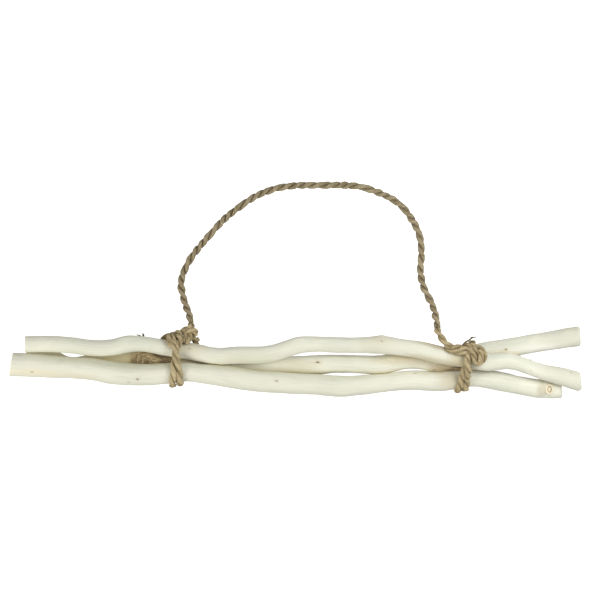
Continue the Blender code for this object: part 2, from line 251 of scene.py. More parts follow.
# %% [markdown]
# ## How the rope is laid
#
# The rope has two strands, laid left-handed, so that the grooves lean like the middle of an
# S. It could be a plain tube with painted stripes, but then its edge would be straight, and
# it is the scalloped edge that says rope. So each strand is its own tube round a helix.
#
# Two strands press each other flat where they meet. Each has a section like a fat D: low
# across the rope's radius and wide along its rim. The fibres inside a strand are twisted
# the other way, so that on the outside they run nearly straight along the rope, and fine
# ridges on the mesh follow them.

# %% Rope sizes
LAY_LENGTH = 22.7         # one full turn of a strand
STRAND_OFFSET = 1.8       # from the rope's middle to a strand's middle
STRAND_HIGH = 2.0         # half of a strand's section, outwards
STRAND_WIDE = 2.6         # and along the rim
FIBRE_BACK_TWIST = 1.9    # how fast the fibres turn back, against the lay
WANDER = 0.35             # how unevenly the rope is laid, in radians
FIBRE_RIDGE = 0.050       # how high fibres stand out, as a share of the strand
YARN_RIDGE = 0.060        # and how high the yarns do
TABLE_GAP = 0.2           # no strand comes closer to the table than this
RING_STEP = 0.6           # from one ring of points to the next
SIDES = 26                # points in a ring


# %% Lay a rope along a line
def lay_rope(line, girth=1.0, start=(0.0, 0.0, 1.0), flat=1.0, outward=None, phase=0.0, seed=1,
             taper=0.0, slack=1.0, dirt_and_shade=0.0):
    """Shapes of the two strands of a rope along a line of frame points.

    Girth scales the section. Flat squeezes it along the outward direction, where the rope is pulled
    against wood. Phase turns the strands to where they start. Taper is the length over which both ends
    thin out. Slack makes the lay longer, as where a rope has come untwisted. The last value darkens
    the rope: grime, and painted shade where a run lies deep.
    """
    ahead, side, other = sides_along(line, start)
    along = distance_along(line) / MM
    draw = np.random.default_rng(seed)
    wander = WANDER * ripple(along[:, None], 30.0, seed + 1)
    turn = phase - 2 * math.pi * along / (LAY_LENGTH * slack) + wander
    thin = np.ones(len(along))
    if taper:
        to_end = np.minimum(along, along[-1] - along)
        thin = 0.35 + 0.65 * np.clip(to_end / taper, 0.0, 1.0) ** 0.5
    around = full_turn(SIDES)
    made = []
    for strand in (0, 1):
        lean = (turn + strand * math.pi)[:, None]
        fat = girth * thin * (1 + 0.07 * ripple(along[:, None], 9.0, seed + 7 + strand))
        out_part = np.where(np.cos(around) > 0, 1.0, 0.95) * np.cos(around) * STRAND_HIGH
        rim_part = np.sin(around) * STRAND_WIDE
        back = FIBRE_BACK_TWIST * 2 * math.pi * along[:, None] / LAY_LENGTH
        fibre_turn = around[None, :] + back
        fibre = np.stack([np.broadcast_to(along[:, None], fibre_turn.shape) + 400 * strand,
                          STRAND_HIGH * 1.1 * np.cos(fibre_turn),
                          STRAND_HIGH * 1.1 * np.sin(fibre_turn)], axis=-1)
        flat_fibre = fibre.reshape(-1, 3)
        ridges = ripple(flat_fibre / (7.0, 0.42, 0.42), 1.0, seed + 11, 40)
        yarns = ripple(flat_fibre / (10.0, 1.1, 1.1), 1.0, seed + 12, 30)
        swell = 1 + (FIBRE_RIDGE * ridges + YARN_RIDGE * yarns).reshape(fibre_turn.shape)
        radial = (STRAND_OFFSET + out_part[None, :] * swell) * fat[:, None]
        rim = rim_part[None, :] * swell * fat[:, None]
        sideways = radial * np.cos(lean) - rim * np.sin(lean)
        upward = radial * np.sin(lean) + rim * np.cos(lean)
        rings = sideways[..., None] * side[:, None, :] + upward[..., None] * other[:, None, :]
        if outward is not None:
            pressed = (rings * outward[:, None, :]).sum(axis=-1, keepdims=True)
            rings = rings - (1 - flat) * pressed * outward[:, None, :]
        points, faces = skin(line[:, None, :] + rings * MM)
        points[:, 2] = np.maximum(points[:, 2], TABLE_GAP * MM)
        # Painted shade and dust on each strand's inner side, where it meets the other strand, added to
        # the given darkening.
        groove = dirt_and_shade + np.broadcast_to(np.abs(np.sin(around / 2)), fibre_turn.shape).ravel()
        tone = np.repeat(ripple(along[:, None], 26.0, seed + 20 + strand), SIDES)
        made.append(shape(points, faces, fibre=flat_fibre * MM + draw.uniform(0, 1, 3),
                          groove=groove, tone=tone))
    return made


# %% [markdown]
# ## Loose fibres
#
# Jute sheds hair. Particles or hair curves would be the usual way, but a mesh travels
# further, so every hair is a thin three-sided prism that bends a little. One function
# makes many of them at once from an array of lines. The frayed rope end uses it too, with
# thicker fibres and more sides, and with a darkness that can change along them.

# %% Thin fibres from lines
def fibres(lines, thickness, sides=3, seed=5, dark=0.0):
    """A shape of thin tubes. Lines is (count, points, 3) in metres, thickness in mm."""
    count, steps = lines.shape[:2]
    draw = np.random.default_rng(seed)
    ahead = unit(np.gradient(lines, axis=1))
    helper = unit(draw.normal(size=(count, 1, 3)))
    side = unit(np.cross(ahead, helper))
    other = np.cross(ahead, side)
    spoke = spokes(side[:, :, None, :], other[:, :, None, :], full_turn(sides))
    half = np.broadcast_to(thickness, (count, steps))[..., None, None] * MM / 2
    points, faces = skin(lines[:, :, None, :] + spoke * half)
    along = np.cumsum(np.linalg.norm(np.gradient(lines, axis=1), axis=2), axis=1)
    fibre = np.zeros((count, steps, sides, 3))
    fibre[..., 0] = along[..., None]
    fibre[..., 1:] = draw.uniform(0.0, 0.05, (count, 1, 1, 2))
    groove = np.repeat(np.broadcast_to(dark, (count, steps)).reshape(-1), sides)
    tone = np.repeat(draw.normal(0.0, 0.8, count), steps * sides)
    return shape(points, faces, fibre=fibre.reshape(-1, 3), groove=groove, tone=tone)


# %% Fuzz that stands out of a rope
HAIR_ROOT = 2.924         # from the rope's middle to where a hair leaves it
HAIR_POINTS = 6


def fuzz(line, count, seed, longest=5.0, thick=0.10):
    """Short hairs that leave the rope at a slant and curl."""
    draw = np.random.default_rng(seed)
    ahead, side, other = sides_along(line)
    where = draw.integers(2, len(line) - 2, count)
    lean = draw.uniform(0.0, 2 * math.pi, count)
    out = spokes(side[where], other[where], lean)
    way = ahead[where] * draw.choice((-1.0, 1.0), count)[:, None]
    length = draw.gamma(2.2, longest / 5.0, count).clip(0.8, longest)[:, None, None]
    t = np.linspace(0.0, 1.0, HAIR_POINTS)[None, :, None]
    bend = unit(draw.normal(size=(count, 3)))[:, None, :]
    lift = draw.uniform(0.15, 0.9, count)[:, None, None]
    run = (way[:, None, :] * (1 - 0.5 * lift) + out[:, None, :] * lift) * t + bend * 0.35 * t ** 2
    lines = line[where][:, None, :] + (out[:, None, :] * HAIR_ROOT + run * length) * MM
    lines[..., 2] = np.maximum(lines[..., 2], 0.3 * MM)
    width = thick * draw.uniform(0.6, 1.3, (count, 1)) * np.linspace(1.0, 0.45, HAIR_POINTS)
    return fibres(lines, width, seed=seed + 1)


# %% [markdown]
# ## Shader effects that the materials share
#
# Wood grain and jute fibres are the same effect at two scales: noise that is stretched along the
# piece. So it is one node group with the streak's length and width as inputs. A second group makes
# soft patches, for bleaching and dirt. A third draws a mark at a given place, with a core and a halo
# round it: a knot in the wood uses both, a stain or a patch of painted shade or light the halo.

# %% Node helpers
def new_group(name, inputs, outputs):
    """An empty node group. Each input has its usual number, or None where it is a vector."""
    group = bpy.data.node_groups.new(name, "ShaderNodeTree")
    for label, number in inputs.items():
        kind = "NodeSocketVector" if number is None else "NodeSocketFloat"
        socket = group.interface.new_socket(label, in_out="INPUT", socket_type=kind)
        if number is not None:
            socket.default_value = number
    for label in outputs:
        group.interface.new_socket(label, in_out="OUTPUT", socket_type="NodeSocketFloat")
    tree = Tree(group)
    tree.inside = tree.add("NodeGroupInput").outputs
    tree.outside = tree.add("NodeGroupOutput").inputs
    return group, tree


class Tree:
    """Short ways to add and link nodes in one node tree."""

    def __init__(self, tree):
        self.tree = tree

    def add(self, kind, **settings):
        node = self.tree.nodes.new(kind)
        for key, value in settings.items():
            setattr(node, key, value)
        return node

    def feed(self, socket, value):
        """Link a socket or set its number. A colour of three numbers is opaque."""
        if isinstance(value, bpy.types.NodeSocket):
            self.tree.links.new(value, socket)
        elif value is not None:
            if socket.type == "RGBA" and len(value) == 3:
                value = (*value, 1.0)
            socket.default_value = value

    def fill(self, node, *values, **named):
        """Feed a node's first sockets in order and others by name, and give its outputs."""
        for socket, value in zip(node.inputs, values):
            self.feed(socket, value)
        for name, value in named.items():
            self.feed(node.inputs[name.replace("_", " ")], value)
        return node.outputs

    def math(self, operation, *values):
        return self.fill(self.add("ShaderNodeMath", operation=operation), *values)[0]

    def vector(self, operation, *values):
        outputs = self.fill(self.add("ShaderNodeVectorMath", operation=operation), *values)
        return outputs["Value" if operation == "LENGTH" else "Vector"]

    def combine(self, *values):
        return self.fill(self.add("ShaderNodeCombineXYZ"), *values)[0]

    def noise(self, vector, scale, detail=2.0, roughness=0.5, distortion=0.0):
        return self.fill(self.add("ShaderNodeTexNoise"), Vector=vector, Scale=scale, Detail=detail,
                         Roughness=roughness, Distortion=distortion)["Fac"]

    def ramp(self, value, low, high, to_low=0.0, to_high=1.0):
        node = self.add("ShaderNodeMapRange", interpolation_type="SMOOTHSTEP")
        return self.fill(node, value, low, high, to_low, to_high)["Result"]

    def blend(self, amount, first, second, mode="MIX"):
        node = self.add("ShaderNodeMix", data_type="RGBA", blend_type=mode)
        outputs = self.fill(node, Factor=amount, A=first, B=second)
        return next(s for s in outputs if s.type == "RGBA")

    def attribute(self, name, output="Vector"):
        return self.add("ShaderNodeAttribute", attribute_name=name).outputs[output]

    def use(self, group, **values):
        return self.fill(self.add("ShaderNodeGroup", node_tree=group), **values)

    def bump(self, shader, height, strength, distance):
        """Fine relief in a shader's normal, for heights of 1 that stand that many metres high."""
        normal = self.fill(self.add("ShaderNodeBump"), Strength=strength, Distance=distance,
                           Height=height)["Normal"]
        self.fill(shader, Normal=normal)


def new_material(name):
    """A material with its node tree and its Principled shader."""
    material = bpy.data.materials.new(name)
    material.use_nodes = True
    return material, Tree(material.node_tree), material.node_tree.nodes["Principled BSDF"]


# %% Stretched streaks
STREAKS, inner = new_group(
    "stretched_streaks", {"Along": None, "Length": 0.03, "Width": 0.001, "Detail": 3.0}, ["Streak"])
lengths = inner.combine(inner.inside["Length"], inner.inside["Width"], inner.inside["Width"])
streak = inner.noise(inner.vector("DIVIDE", inner.inside["Along"], lengths), 1.0,
                     inner.inside["Detail"], 0.6)
inner.feed(inner.outside["Streak"], inner.ramp(streak, 0.3, 0.7))

# %% Soft patches
PATCHES, inner = new_group(
    "soft_patches", {"Where": None, "Size": 0.03, "From": 0.45, "To": 0.65}, ["Patch"])
cloud = inner.noise(inner.vector("MULTIPLY", inner.inside["Where"], (0.55, 1.0, 1.0)),
                    inner.math("DIVIDE", 1.0, inner.inside["Size"]), 3.0, 0.55, 0.4)
inner.feed(inner.outside["Patch"],
           inner.ramp(cloud, inner.inside["From"], inner.inside["To"]))

# %% A knot in the wood
KNOT_MARK, inner = new_group(
    "knot_mark", {"Where": None, "Place": None, "Long": 0.002, "Wide": 0.001}, ["Core", "Halo"])
halves = inner.combine(inner.inside["Long"], inner.inside["Wide"], inner.inside["Wide"])
gap = inner.vector("SUBTRACT", inner.inside["Where"], inner.inside["Place"])
away = inner.vector("LENGTH", inner.vector("DIVIDE", gap, halves))
uneven = inner.math("SUBTRACT", inner.noise(inner.inside["Where"], 700.0, 2.0), 0.5)
away = inner.math("ADD", away, inner.math("MULTIPLY", uneven, 1.6))
inner.feed(inner.outside["Core"], inner.ramp(away, 1.15, 0.55))
inner.feed(inner.outside["Halo"], inner.ramp(away, 3.2, 1.0))
print("shared effects:", ", ".join(g.name for g in bpy.data.node_groups))

# %% [markdown]
# ## Jute
#
# Jute is khaki brown, matt and stringy. The darkest places are the grooves, where little light gets in
# and dust stays, and the lightest are single fibres on the crown of a strand. Four layers give that:
# broad tone along each strand, fibre streaks, small dark flecks of bark, and the groove value that was
# stored when the strand was made. The groove value is painted shade and dust in the grooves between
# strands, and grime and painted shade on runs and fibres that lie deep. The tied rope is paler,
# because it has been rubbed, and a frayed end is the palest of all.

# %% Jute material
FLECK_SHADE = 0.45        # how dark flecks and grooves are beside the darkest fibre


def jute(name, pale, middle, dark, groove_dark):
    """Jute of three colours, with grooves that are more or less dark."""
    material, tree, shader = new_material(name)
    along = tree.attribute("fibre")
    coarse = tree.use(STREAKS, Along=along, Length=0.009, Width=0.0011, Detail=2.0)["Streak"]
    fine = tree.use(STREAKS, Along=along, Length=0.005, Width=0.00032, Detail=2.0)["Streak"]
    tone = tree.ramp(tree.attribute("tone", "Fac"), -1.6, 1.6)
    mixed = tree.math("MULTIPLY_ADD", fine, 0.45, tree.math("MULTIPLY", coarse, 0.55))
    color = tree.blend(tree.ramp(mixed, 0.25, 0.62), dark, middle)
    color = tree.blend(tree.ramp(mixed, 0.50, 0.88), color, pale)
    color = tree.blend(tree.math("MULTIPLY", tone, 0.45), color, pale)
    shade = tuple(FLECK_SHADE * part for part in dark)
    fleck = tree.use(PATCHES, Where=along, Size=0.0019, From=0.52, To=0.68)["Patch"]
    color = tree.blend(tree.math("MULTIPLY", fleck, 0.30), color, shade)
    # Painted shade and dust: the groove value darkens the colour towards the shade colour.
    groove = tree.ramp(tree.attribute("groove", "Fac"), 0.42, 0.95)
    color = tree.blend(tree.math("MULTIPLY", groove, groove_dark), color, shade)
    tree.fill(shader, Base_Color=color, Roughness=tree.ramp(fine, 0.0, 1.0, 0.95, 0.72),
              Specular_IOR_Level=0.25)
    tree.bump(shader, mixed, 0.7, 0.0003)
    return material


JUTE = jute("jute", (0.51, 0.425, 0.275), (0.36, 0.29, 0.17), (0.17, 0.13, 0.066), 0.31)
TIED_JUTE = jute("tied_jute", (0.68, 0.565, 0.345), (0.515, 0.415, 0.228),
                 (0.28, 0.21, 0.105), 0.26)
FRAYED_JUTE = jute("frayed_jute", (0.86, 0.70, 0.44), (0.55, 0.42, 0.22),
                   (0.20, 0.135, 0.06), 0.85)
print("jute:", JUTE.name, TIED_JUTE.name, FRAYED_JUTE.name)

# %% [markdown]
# ## The carrying loop
#
# The rope's middle leaves the left knot, comes down to the table in a hand's width, lies
# there in one loose arch and climbs to the right knot. It is shown from end to end, so its
# length is the arch's own. The route is the one that the solid follows: the same points,
# with a straight bit at each exit.

# %% Route of the loop
GAP = 0.4                 # from an exit to the cord's first point
NECK = 7.0                # how far the cord runs straight from there
LEFT_EXIT, LEFT_WAY = (-110.0, 40.5, 24.0), (-0.16, 0.78, -0.60)
RIGHT_EXIT, RIGHT_WAY = (148.8, 35.5, 31.5), (-0.06, 0.80, -0.60)
ARCH_HEIGHT = 3.95        # of the rope's middle, where it lies on the table
ARCH = [
    (-113.5, 104.0), (-107.5, 113.5), (-100.0, 122.5), (-91.5, 132.5), (-77.5, 148.0),
    (-59.5, 163.0), (-42.0, 174.5), (-19.5, 183.0), (3.5, 186.0), (23.5, 186.0), (46.5, 186.0),
    (68.5, 184.3), (89.0, 177.6), (109.0, 166.5), (121.5, 151.5), (130.5, 133.5), (132.5, 114.0),
]
LOOP_ROUTE = [
    (-116.6, 62.0, 9.0), (-119.3, 71.5, 5.1), (-120.8, 80.0, 4.1), (-119.0, 91.5, ARCH_HEIGHT),
    *((x, y, ARCH_HEIGHT) for x, y in ARCH),
    (131.5, 95.0, 4.1), (135.0, 78.5, 6.3), (143.3, 61.0, 13.5),
]


def straight_out(exit_point, way):
    """Two points that leave an exit straight."""
    return [np.array(exit_point) + unit(np.array(way)) * reach for reach in (GAP, GAP + NECK)]


left_start = straight_out(LEFT_EXIT, LEFT_WAY)
right_start = straight_out(RIGHT_EXIT, RIGHT_WAY)
loop_line = from_bench(smooth_line(left_start + LOOP_ROUTE + right_start[::-1], RING_STEP))
loop_length = distance_along(loop_line)[-1]
print("carrying loop, mm:", round(1000 * loop_length, 1))

# %% The loop and its fuzz
LOOP_HAIRS = 900
TUFTS = ((-87.5, 143.5), (46.0, 187.5), (93.0, 172.0))


def tuft(spot, seed):
    """A few longer hairs close to one place of the loop."""
    gaps = np.linalg.norm(loop_line[:, :2] - from_bench((*spot, 0.0))[:2], axis=1)
    near = int(np.argmin(gaps))
    return fuzz(loop_line[near - 6:near + 7], 16, seed, longest=6.5, thick=0.16)


loop = piece("carrying_loop_rope", lay_rope(loop_line, seed=21, phase=0.6), [JUTE],
             "jute_rope", ["carrying_loop"])
tufts = [tuft(spot, 40 + k) for k, spot in enumerate(TUFTS)]
loop_fuzz = piece("carrying_loop_fuzz", [fuzz(loop_line, LOOP_HAIRS, 31)] + tufts, [JUTE],
                  "jute_rope")
from_bench(left_start[0])

# %% [markdown]
# ## Measuring the branches
#
# Each branch's solid is a bent, slightly uneven stick. To dress it, its middle line and its
# thickness are needed at every place. They could be typed in again, but measuring them
# keeps the looks and the solid together: rays are cast outwards from the middle, and a
# circle is fitted to where they land. The sawn ends are found as the solid's flat faces.

# %% Measure a branch
SLICE = 5.0               # from one measured section to the next
SAW_MARGIN = 6.0          # the stretch by a sawn end that isn't measured
RAYS = 28
FACET_LOSS = 1.0125       # a 14-sided stick is this much thinner than its round one


def circle_through(points):
    """Middle and radius of the circle that fits some flat points best."""
    rows = np.column_stack([2 * points, np.ones(len(points))])
    (a, b, c), *_ = np.linalg.lstsq(rows, (points ** 2).sum(axis=1), rcond=None)
    return np.array([a, b]), math.sqrt(c + a * a + b * b)


def sawn_end(mesh, side):
    """Middle and outward direction of a branch's flat end; side is -1 or 1 along X."""
    reach = max(side * v.co.x for v in mesh.vertices) - SAW_MARGIN * MM
    flat = [p for p in mesh.polygons if side * p.normal.x > 0.9 and side * p.center.x > reach]
    area = sum(p.area for p in flat)
    middle = sum((p.center * p.area for p in flat), Vector()) / area
    normal = sum((p.normal * p.area for p in flat), Vector()).normalized()
    return np.array(middle), np.array(normal)


def across(ahead):
    """Level and upright unit vectors across a direction."""
    level = unit(np.cross((0.0, 0.0, 1.0), ahead))
    return level, np.cross(ahead, level)


def measure_branch(node):
    """Middle line, radius and the two sawn ends of a branch, from its solid."""
    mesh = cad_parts[node].data
    places = np.array([v.co for v in mesh.vertices])
    tree = SOLIDS[node]
    ends = [sawn_end(mesh, -1), sawn_end(mesh, 1)]
    margin = SAW_MARGIN * MM
    stations = np.arange(ends[0][0][0] + margin, ends[1][0][0] - margin, SLICE * MM)
    middles = np.array([places[np.abs(places[:, 0] - x) < 8 * MM].mean(axis=0) for x in stations])
    middles[:, 0] = stations
    radii = np.zeros(len(stations))
    for _ in range(3):
        ahead = unit(np.gradient(middles, axis=0))
        for k, (middle, way) in enumerate(zip(middles, ahead)):
            level, upright = across(way)
            hits = []
            for turn in full_turn(RAYS):
                hit = tree.ray_cast(Vector(middle), Vector(spokes(level, upright, turn)))[3]
                if hit:
                    hits.append((hit * math.cos(turn), hit * math.sin(turn)))
            hits = np.array(hits)
            far = np.linalg.norm(hits, axis=1)
            shift, radius = circle_through(hits[far < 1.2 * np.median(far)])
            middles[k] += level * shift[0] + upright * shift[1]
            radii[k] = radius * FACET_LOSS
    rows = np.column_stack([middles, radii])
    for end, flip in ((0, 1), (1, -1)):
        edge, inner_row = rows[::flip][0], rows[::flip][2]
        slope = (edge - inner_row) / np.linalg.norm(edge[:3] - inner_row[:3])
        reach = np.dot(ends[end][0] - edge[:3], ends[end][1]) / np.dot(slope[:3], ends[end][1])
        extra = edge + slope * (reach + 3 * MM)
        rows = np.vstack([extra, rows]) if end == 0 else np.vstack([rows, extra])
    line = smooth_line(rows, 1.0 * MM)
    return {"line": line[:, :3], "radius": line[:, 3], "along": distance_along(line[:, :3]),
            "ends": ends}


def solid_tree(node):
    """A search tree of one solid's faces."""
    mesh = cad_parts[node].data
    return BVHTree.FromPolygons([v.co for v in mesh.vertices], [p.vertices for p in mesh.polygons])


SOLIDS = {node: solid_tree(node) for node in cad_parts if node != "carrying_loop"}
BRANCHES = {name: measure_branch(name) for name in ("front_branch", "back_branch", "lower_branch")}
for name, found in BRANCHES.items():
    print(f"{name}: {1000 * found['along'][-1]:.0f} mm along, "
          f"{2000 * found['radius'].min():.1f} to {2000 * found['radius'].max():.1f} mm thick")


# %% [markdown]
# ## Places on a branch
#
# Knots, stains and painted shade are placed as seen from above: so far along, so far across. The
# helper turns such a spot into the branch's own straightened coordinates, which are the distance along
# the middle line and the two distances across it. Shaders and the skin both use these.

# %% A spot on top of a branch
def spot_on(branch, x, y):
    """Straightened coordinates, in metres, of the spot seen from above at bench x, y."""
    place = from_bench((x, y, 0.0))
    line = branch["line"]
    near = int(np.argmin(np.abs(line[:, 0] - place[0])))
    ahead = unit(line[min(near + 3, len(line) - 1)] - line[max(near - 3, 0)])
    gap = (place - line[near]) * (1.0, 1.0, 0.0)
    radius = branch["radius"][near]
    offset = np.clip(np.dot(gap, across(ahead)[0]), -0.96 * radius, 0.96 * radius)
    s = branch["along"][near] + np.dot(gap, ahead)
    return np.array((s, offset, math.sqrt(radius ** 2 - offset ** 2)))


# %% [markdown]
# ## The wood's knots
#
# A knot is where a twig grew. Once peeled it is a small dark eye in a low swelling, or a
# shallow pit if the twig came out. Each row is bench x and y, half length and half width of
# the dark eye, how strong it is, and how high the wood swells there. A few rows are hardly
# an eye at all, only a bump where a twig was shed long ago.

# %% Knots of each branch: x, y, half length, half width, strength, swelling
KNOTS = {
    "front_branch": [
        (90.2, 22.0, 2.4, 1.1, 0.55, 0.5), (91.6, 27.3, 1.6, 0.8, 0.25, 1.5),
        (-111.0, 14.2, 2.4, 1.6, 0.22, 0.0), (-215.0, 8.4, 1.8, 0.9, 0.18, 0.1),
        (289.3, -11.0, 1.6, 0.8, 0.30, 0.1), (245.2, -8.4, 1.4, 0.7, 0.25, 0.1),
        (-177.0, 26.5, 3.2, 1.2, 0.10, 1.2), (4.0, 25.0, 3.0, 1.0, 0.10, 0.8),
    ],
    "back_branch": [
        (23.5, -0.3, 2.3, 1.1, 0.90, 0.25), (145.4, -8.4, 2.6, 0.9, 0.75, 0.1),
        (221.0, 13.2, 1.1, 0.8, 0.80, 0.3), (-60.0, 2.0, 1.4, 0.8, 0.3, 0.1),
    ],
    "lower_branch": [
        (-276.5, -10.5, 1.4, 0.8, 0.60, 0.1), (-165.7, -17.9, 1.6, 1.0, 0.80, 0.2),
        (-175.1, -21.0, 1.6, 0.9, 0.30, 0.1), (-21.2, -19.7, 1.6, 0.9, 0.60, 0.3),
        (125.4, -11.6, 2.0, 0.6, 0.50, 0.1), (253.0, -36.0, 1.8, 0.9, 0.18, 0.3),
        (51.5, -33.5, 3.2, 1.6, 0.05, 1.2),
    ],
}


# %% [markdown]
# ## Stains, painted shade and painted light
#
# Most of these broad soft marks are painted shade: brown beside the ties and along the grooves between
# the branches, where shade falls, and yellow on the shaded strip under the left tie. The rest are
# stains: grey at the ends that are picked up, and a few tints of the wood. Each row is bench x and y,
# half length and half width, strength and colour. A mark fades out at about three times its half
# sizes. The last rows of two branches are pale: they are painted light that lifts a flank lying in
# shade.

# %% Stains, painted shade and painted light of each branch: x, y, half length, half width, strength, colour
STAINS_PAINTED_SHADE_AND_LIGHT = {
    "front_branch": [
        # Painted shade round the right tie, with the shadow of the rope's neck.
        (174.0, 6.0, 5.5, 7.0, 0.60, (0.60, 0.50, 0.29)),
        (154.0, -0.5, 16.0, 2.6, 0.50, (0.52, 0.43, 0.24)),
        (154.0, 16.0, 13.0, 2.6, 0.60, (0.46, 0.38, 0.21)),
        # Painted shade beside the left tie.
        (-113.0, 18.0, 9.0, 5.0, 0.35, (0.66, 0.56, 0.33)),
        (86.0, 21.0, 9.0, 6.0, 0.30, (0.64, 0.59, 0.40)),
        # Painted shade along the groove on the lower side.
        (-50.0, 3.0, 14.0, 3.5, 0.35, (0.60, 0.59, 0.40)),
        (294.0, -18.0, 16.0, 14.0, 0.60, (0.64, 0.63, 0.51)),
    ],
    "lower_branch": [
        # Painted shade beside the twig stub and along the top edge that the front branch shades.
        (258.5, -29.5, 2.6, 3.4, 0.55, (0.50, 0.43, 0.28)),
        (-180.0, -3.0, 48.0, 3.2, 0.42, (0.57, 0.54, 0.37)),
        (-276.0, -11.5, 13.0, 2.4, 0.35, (0.80, 0.68, 0.45)),
        (-234.0, -14.5, 13.0, 3.0, 0.30, (0.80, 0.70, 0.50)),
        # Painted shade in the groove under the front branch and beside the right tie.
        (-57.0, -4.5, 17.0, 2.4, 0.50, (0.55, 0.52, 0.32)),
        (165.0, -13.0, 7.0, 10.0, 0.50, (0.62, 0.52, 0.35)),
        # Painted light: lifts a flank that lies in the front branch's shade.
        (196.0, -10.5, 20.0, 2.0, 0.60, (0.88, 0.86, 0.76)),
    ],
    "back_branch": [
        # Painted shade: yellow on the shaded strip under the left tie, brown under the frayed end.
        (-250.0, 2.5, 26.0, 5.5, 0.85, (0.84, 0.78, 0.52)),
        (-197.0, 2.5, 32.0, 6.0, 0.90, (0.76, 0.67, 0.40)),
        (-157.0, 2.0, 7.0, 4.5, 0.95, (0.50, 0.38, 0.20)),
        # Painted shade in the grooves under the front branch, beside the lower branch and by the ties.
        (2.0, -6.0, 10.0, 4.0, 0.40, (0.60, 0.55, 0.36)),
        (104.0, 5.5, 12.0, 2.6, 0.45, (0.56, 0.48, 0.29)),
        (124.0, 2.5, 12.0, 2.6, 0.50, (0.54, 0.44, 0.26)),
        (160.0, -5.0, 8.0, 3.0, 0.80, (0.46, 0.35, 0.18)),
        (-112.0, 2.0, 10.0, 4.0, 0.50, (0.56, 0.46, 0.27)),
        (294.0, 28.0, 18.0, 14.0, 0.85, (0.62, 0.61, 0.50)),
        # Painted light: lifts a flank that lies in the front branch's shade.
        (226.0, 7.5, 24.0, 3.0, 0.70, (0.92, 0.90, 0.83)),
    ],
}


# %% [markdown]
# ## Peeled wood
#
# Peeled and bleached wood is almost white, a little green and grey where it weathered and a little
# yellow in the shade. It has long faint streaks, soft patches and a dry surface. On that lie the
# stains with patches of painted shade and light, then the painted yellow shade of the crevices and the
# rounded rims, then the knots. Each branch gets its own material, because each has its own knots,
# stains and painted shade.

# %% Wood material
# How strongly the paler bands show on each branch.
BAND_STRENGTH = {"front_branch": 0.45, "back_branch": 0.75, "lower_branch": 0.55}


def marked(tree, where, branch, rows):
    """The mask of each row's mark, with the last two values of the row: a knot, a stain, painted shade
    or painted light.
    """
    for x, y, long, wide, *rest in rows:
        yield tree.use(KNOT_MARK, Where=where, Place=tuple(spot_on(branch, x, y)),
                       Long=long * MM, Wide=wide * MM), *rest


def peeled_wood(node):
    """The wood of one branch, with its stains, painted shade and light, painted crevice shade and
    knots.
    """
    branch = BRANCHES[node]
    material, tree, shader = new_material("peeled_" + node)
    where = tree.attribute("straight")
    grain = tree.use(STREAKS, Along=where, Length=0.030, Width=0.0010, Detail=3.0)["Streak"]
    bands = tree.use(STREAKS, Along=where, Length=0.090, Width=0.0045, Detail=2.0)["Streak"]
    cloudy = tree.use(PATCHES, Where=where, Size=0.022, From=0.38, To=0.68)["Patch"]
    spotted = tree.use(PATCHES, Where=where, Size=0.009, From=0.60, To=0.78)["Patch"]
    color = tree.blend(cloudy, (0.800, 0.796, 0.672), (0.715, 0.730, 0.605))
    for mask, most, tint in ((bands, BAND_STRENGTH[node], (0.845, 0.828, 0.700)),
                             (grain, 0.28, (0.640, 0.610, 0.470)),
                             (spotted, 0.22, (0.560, 0.520, 0.380))):
        color = tree.blend(tree.math("MULTIPLY", mask, most), color, tint)
    # The rows' marks: stains, painted shade in the grooves and by the ties, and painted light on two
    # shaded flanks.
    for mark, strength, tint in marked(tree, where, branch, STAINS_PAINTED_SHADE_AND_LIGHT[node]):
        color = tree.blend(tree.math("MULTIPLY", mark["Halo"], strength), color, tint)
    # Painted shade: a warm yellow darkening near other solids and on the rounded rims.
    crevice_shade = tree.ramp(tree.attribute("closeness", "Fac"), 0.20, 1.0)
    color = tree.blend(tree.math("MULTIPLY", crevice_shade, 0.85), color, (0.93, 0.82, 0.58), "MULTIPLY")
    height = tree.math("MULTIPLY_ADD", bands, 0.5, tree.math("MULTIPLY", grain, 0.5))
    for mark, strength, _ in marked(tree, where, branch, KNOTS[node]):
        halo = tree.math("MULTIPLY", mark["Halo"], 0.45 * strength)
        core = tree.math("MULTIPLY", mark["Core"], strength)
        color = tree.blend(halo, color, (0.600, 0.520, 0.350))
        color = tree.blend(core, color, (0.150, 0.095, 0.042))
        height = tree.math("SUBTRACT", height, core)
    tree.fill(shader, Base_Color=color, Roughness=tree.ramp(grain, 0.0, 1.0, 0.52, 0.72),
              Specular_IOR_Level=0.35)
    tree.bump(shader, height, 0.45, 0.0003)
    return material


# %% [markdown]
# ## Sawn ends
#
# A saw cut shows the year rings round the dark pith, and fine pores. The rings are a wave
# over the distance from the middle line, pushed about by noise. The two across coordinates
# of the straightened wood are all that it needs.

# %% End grain material
YEAR_RING = 0.0014        # from one year ring to the next, in metres


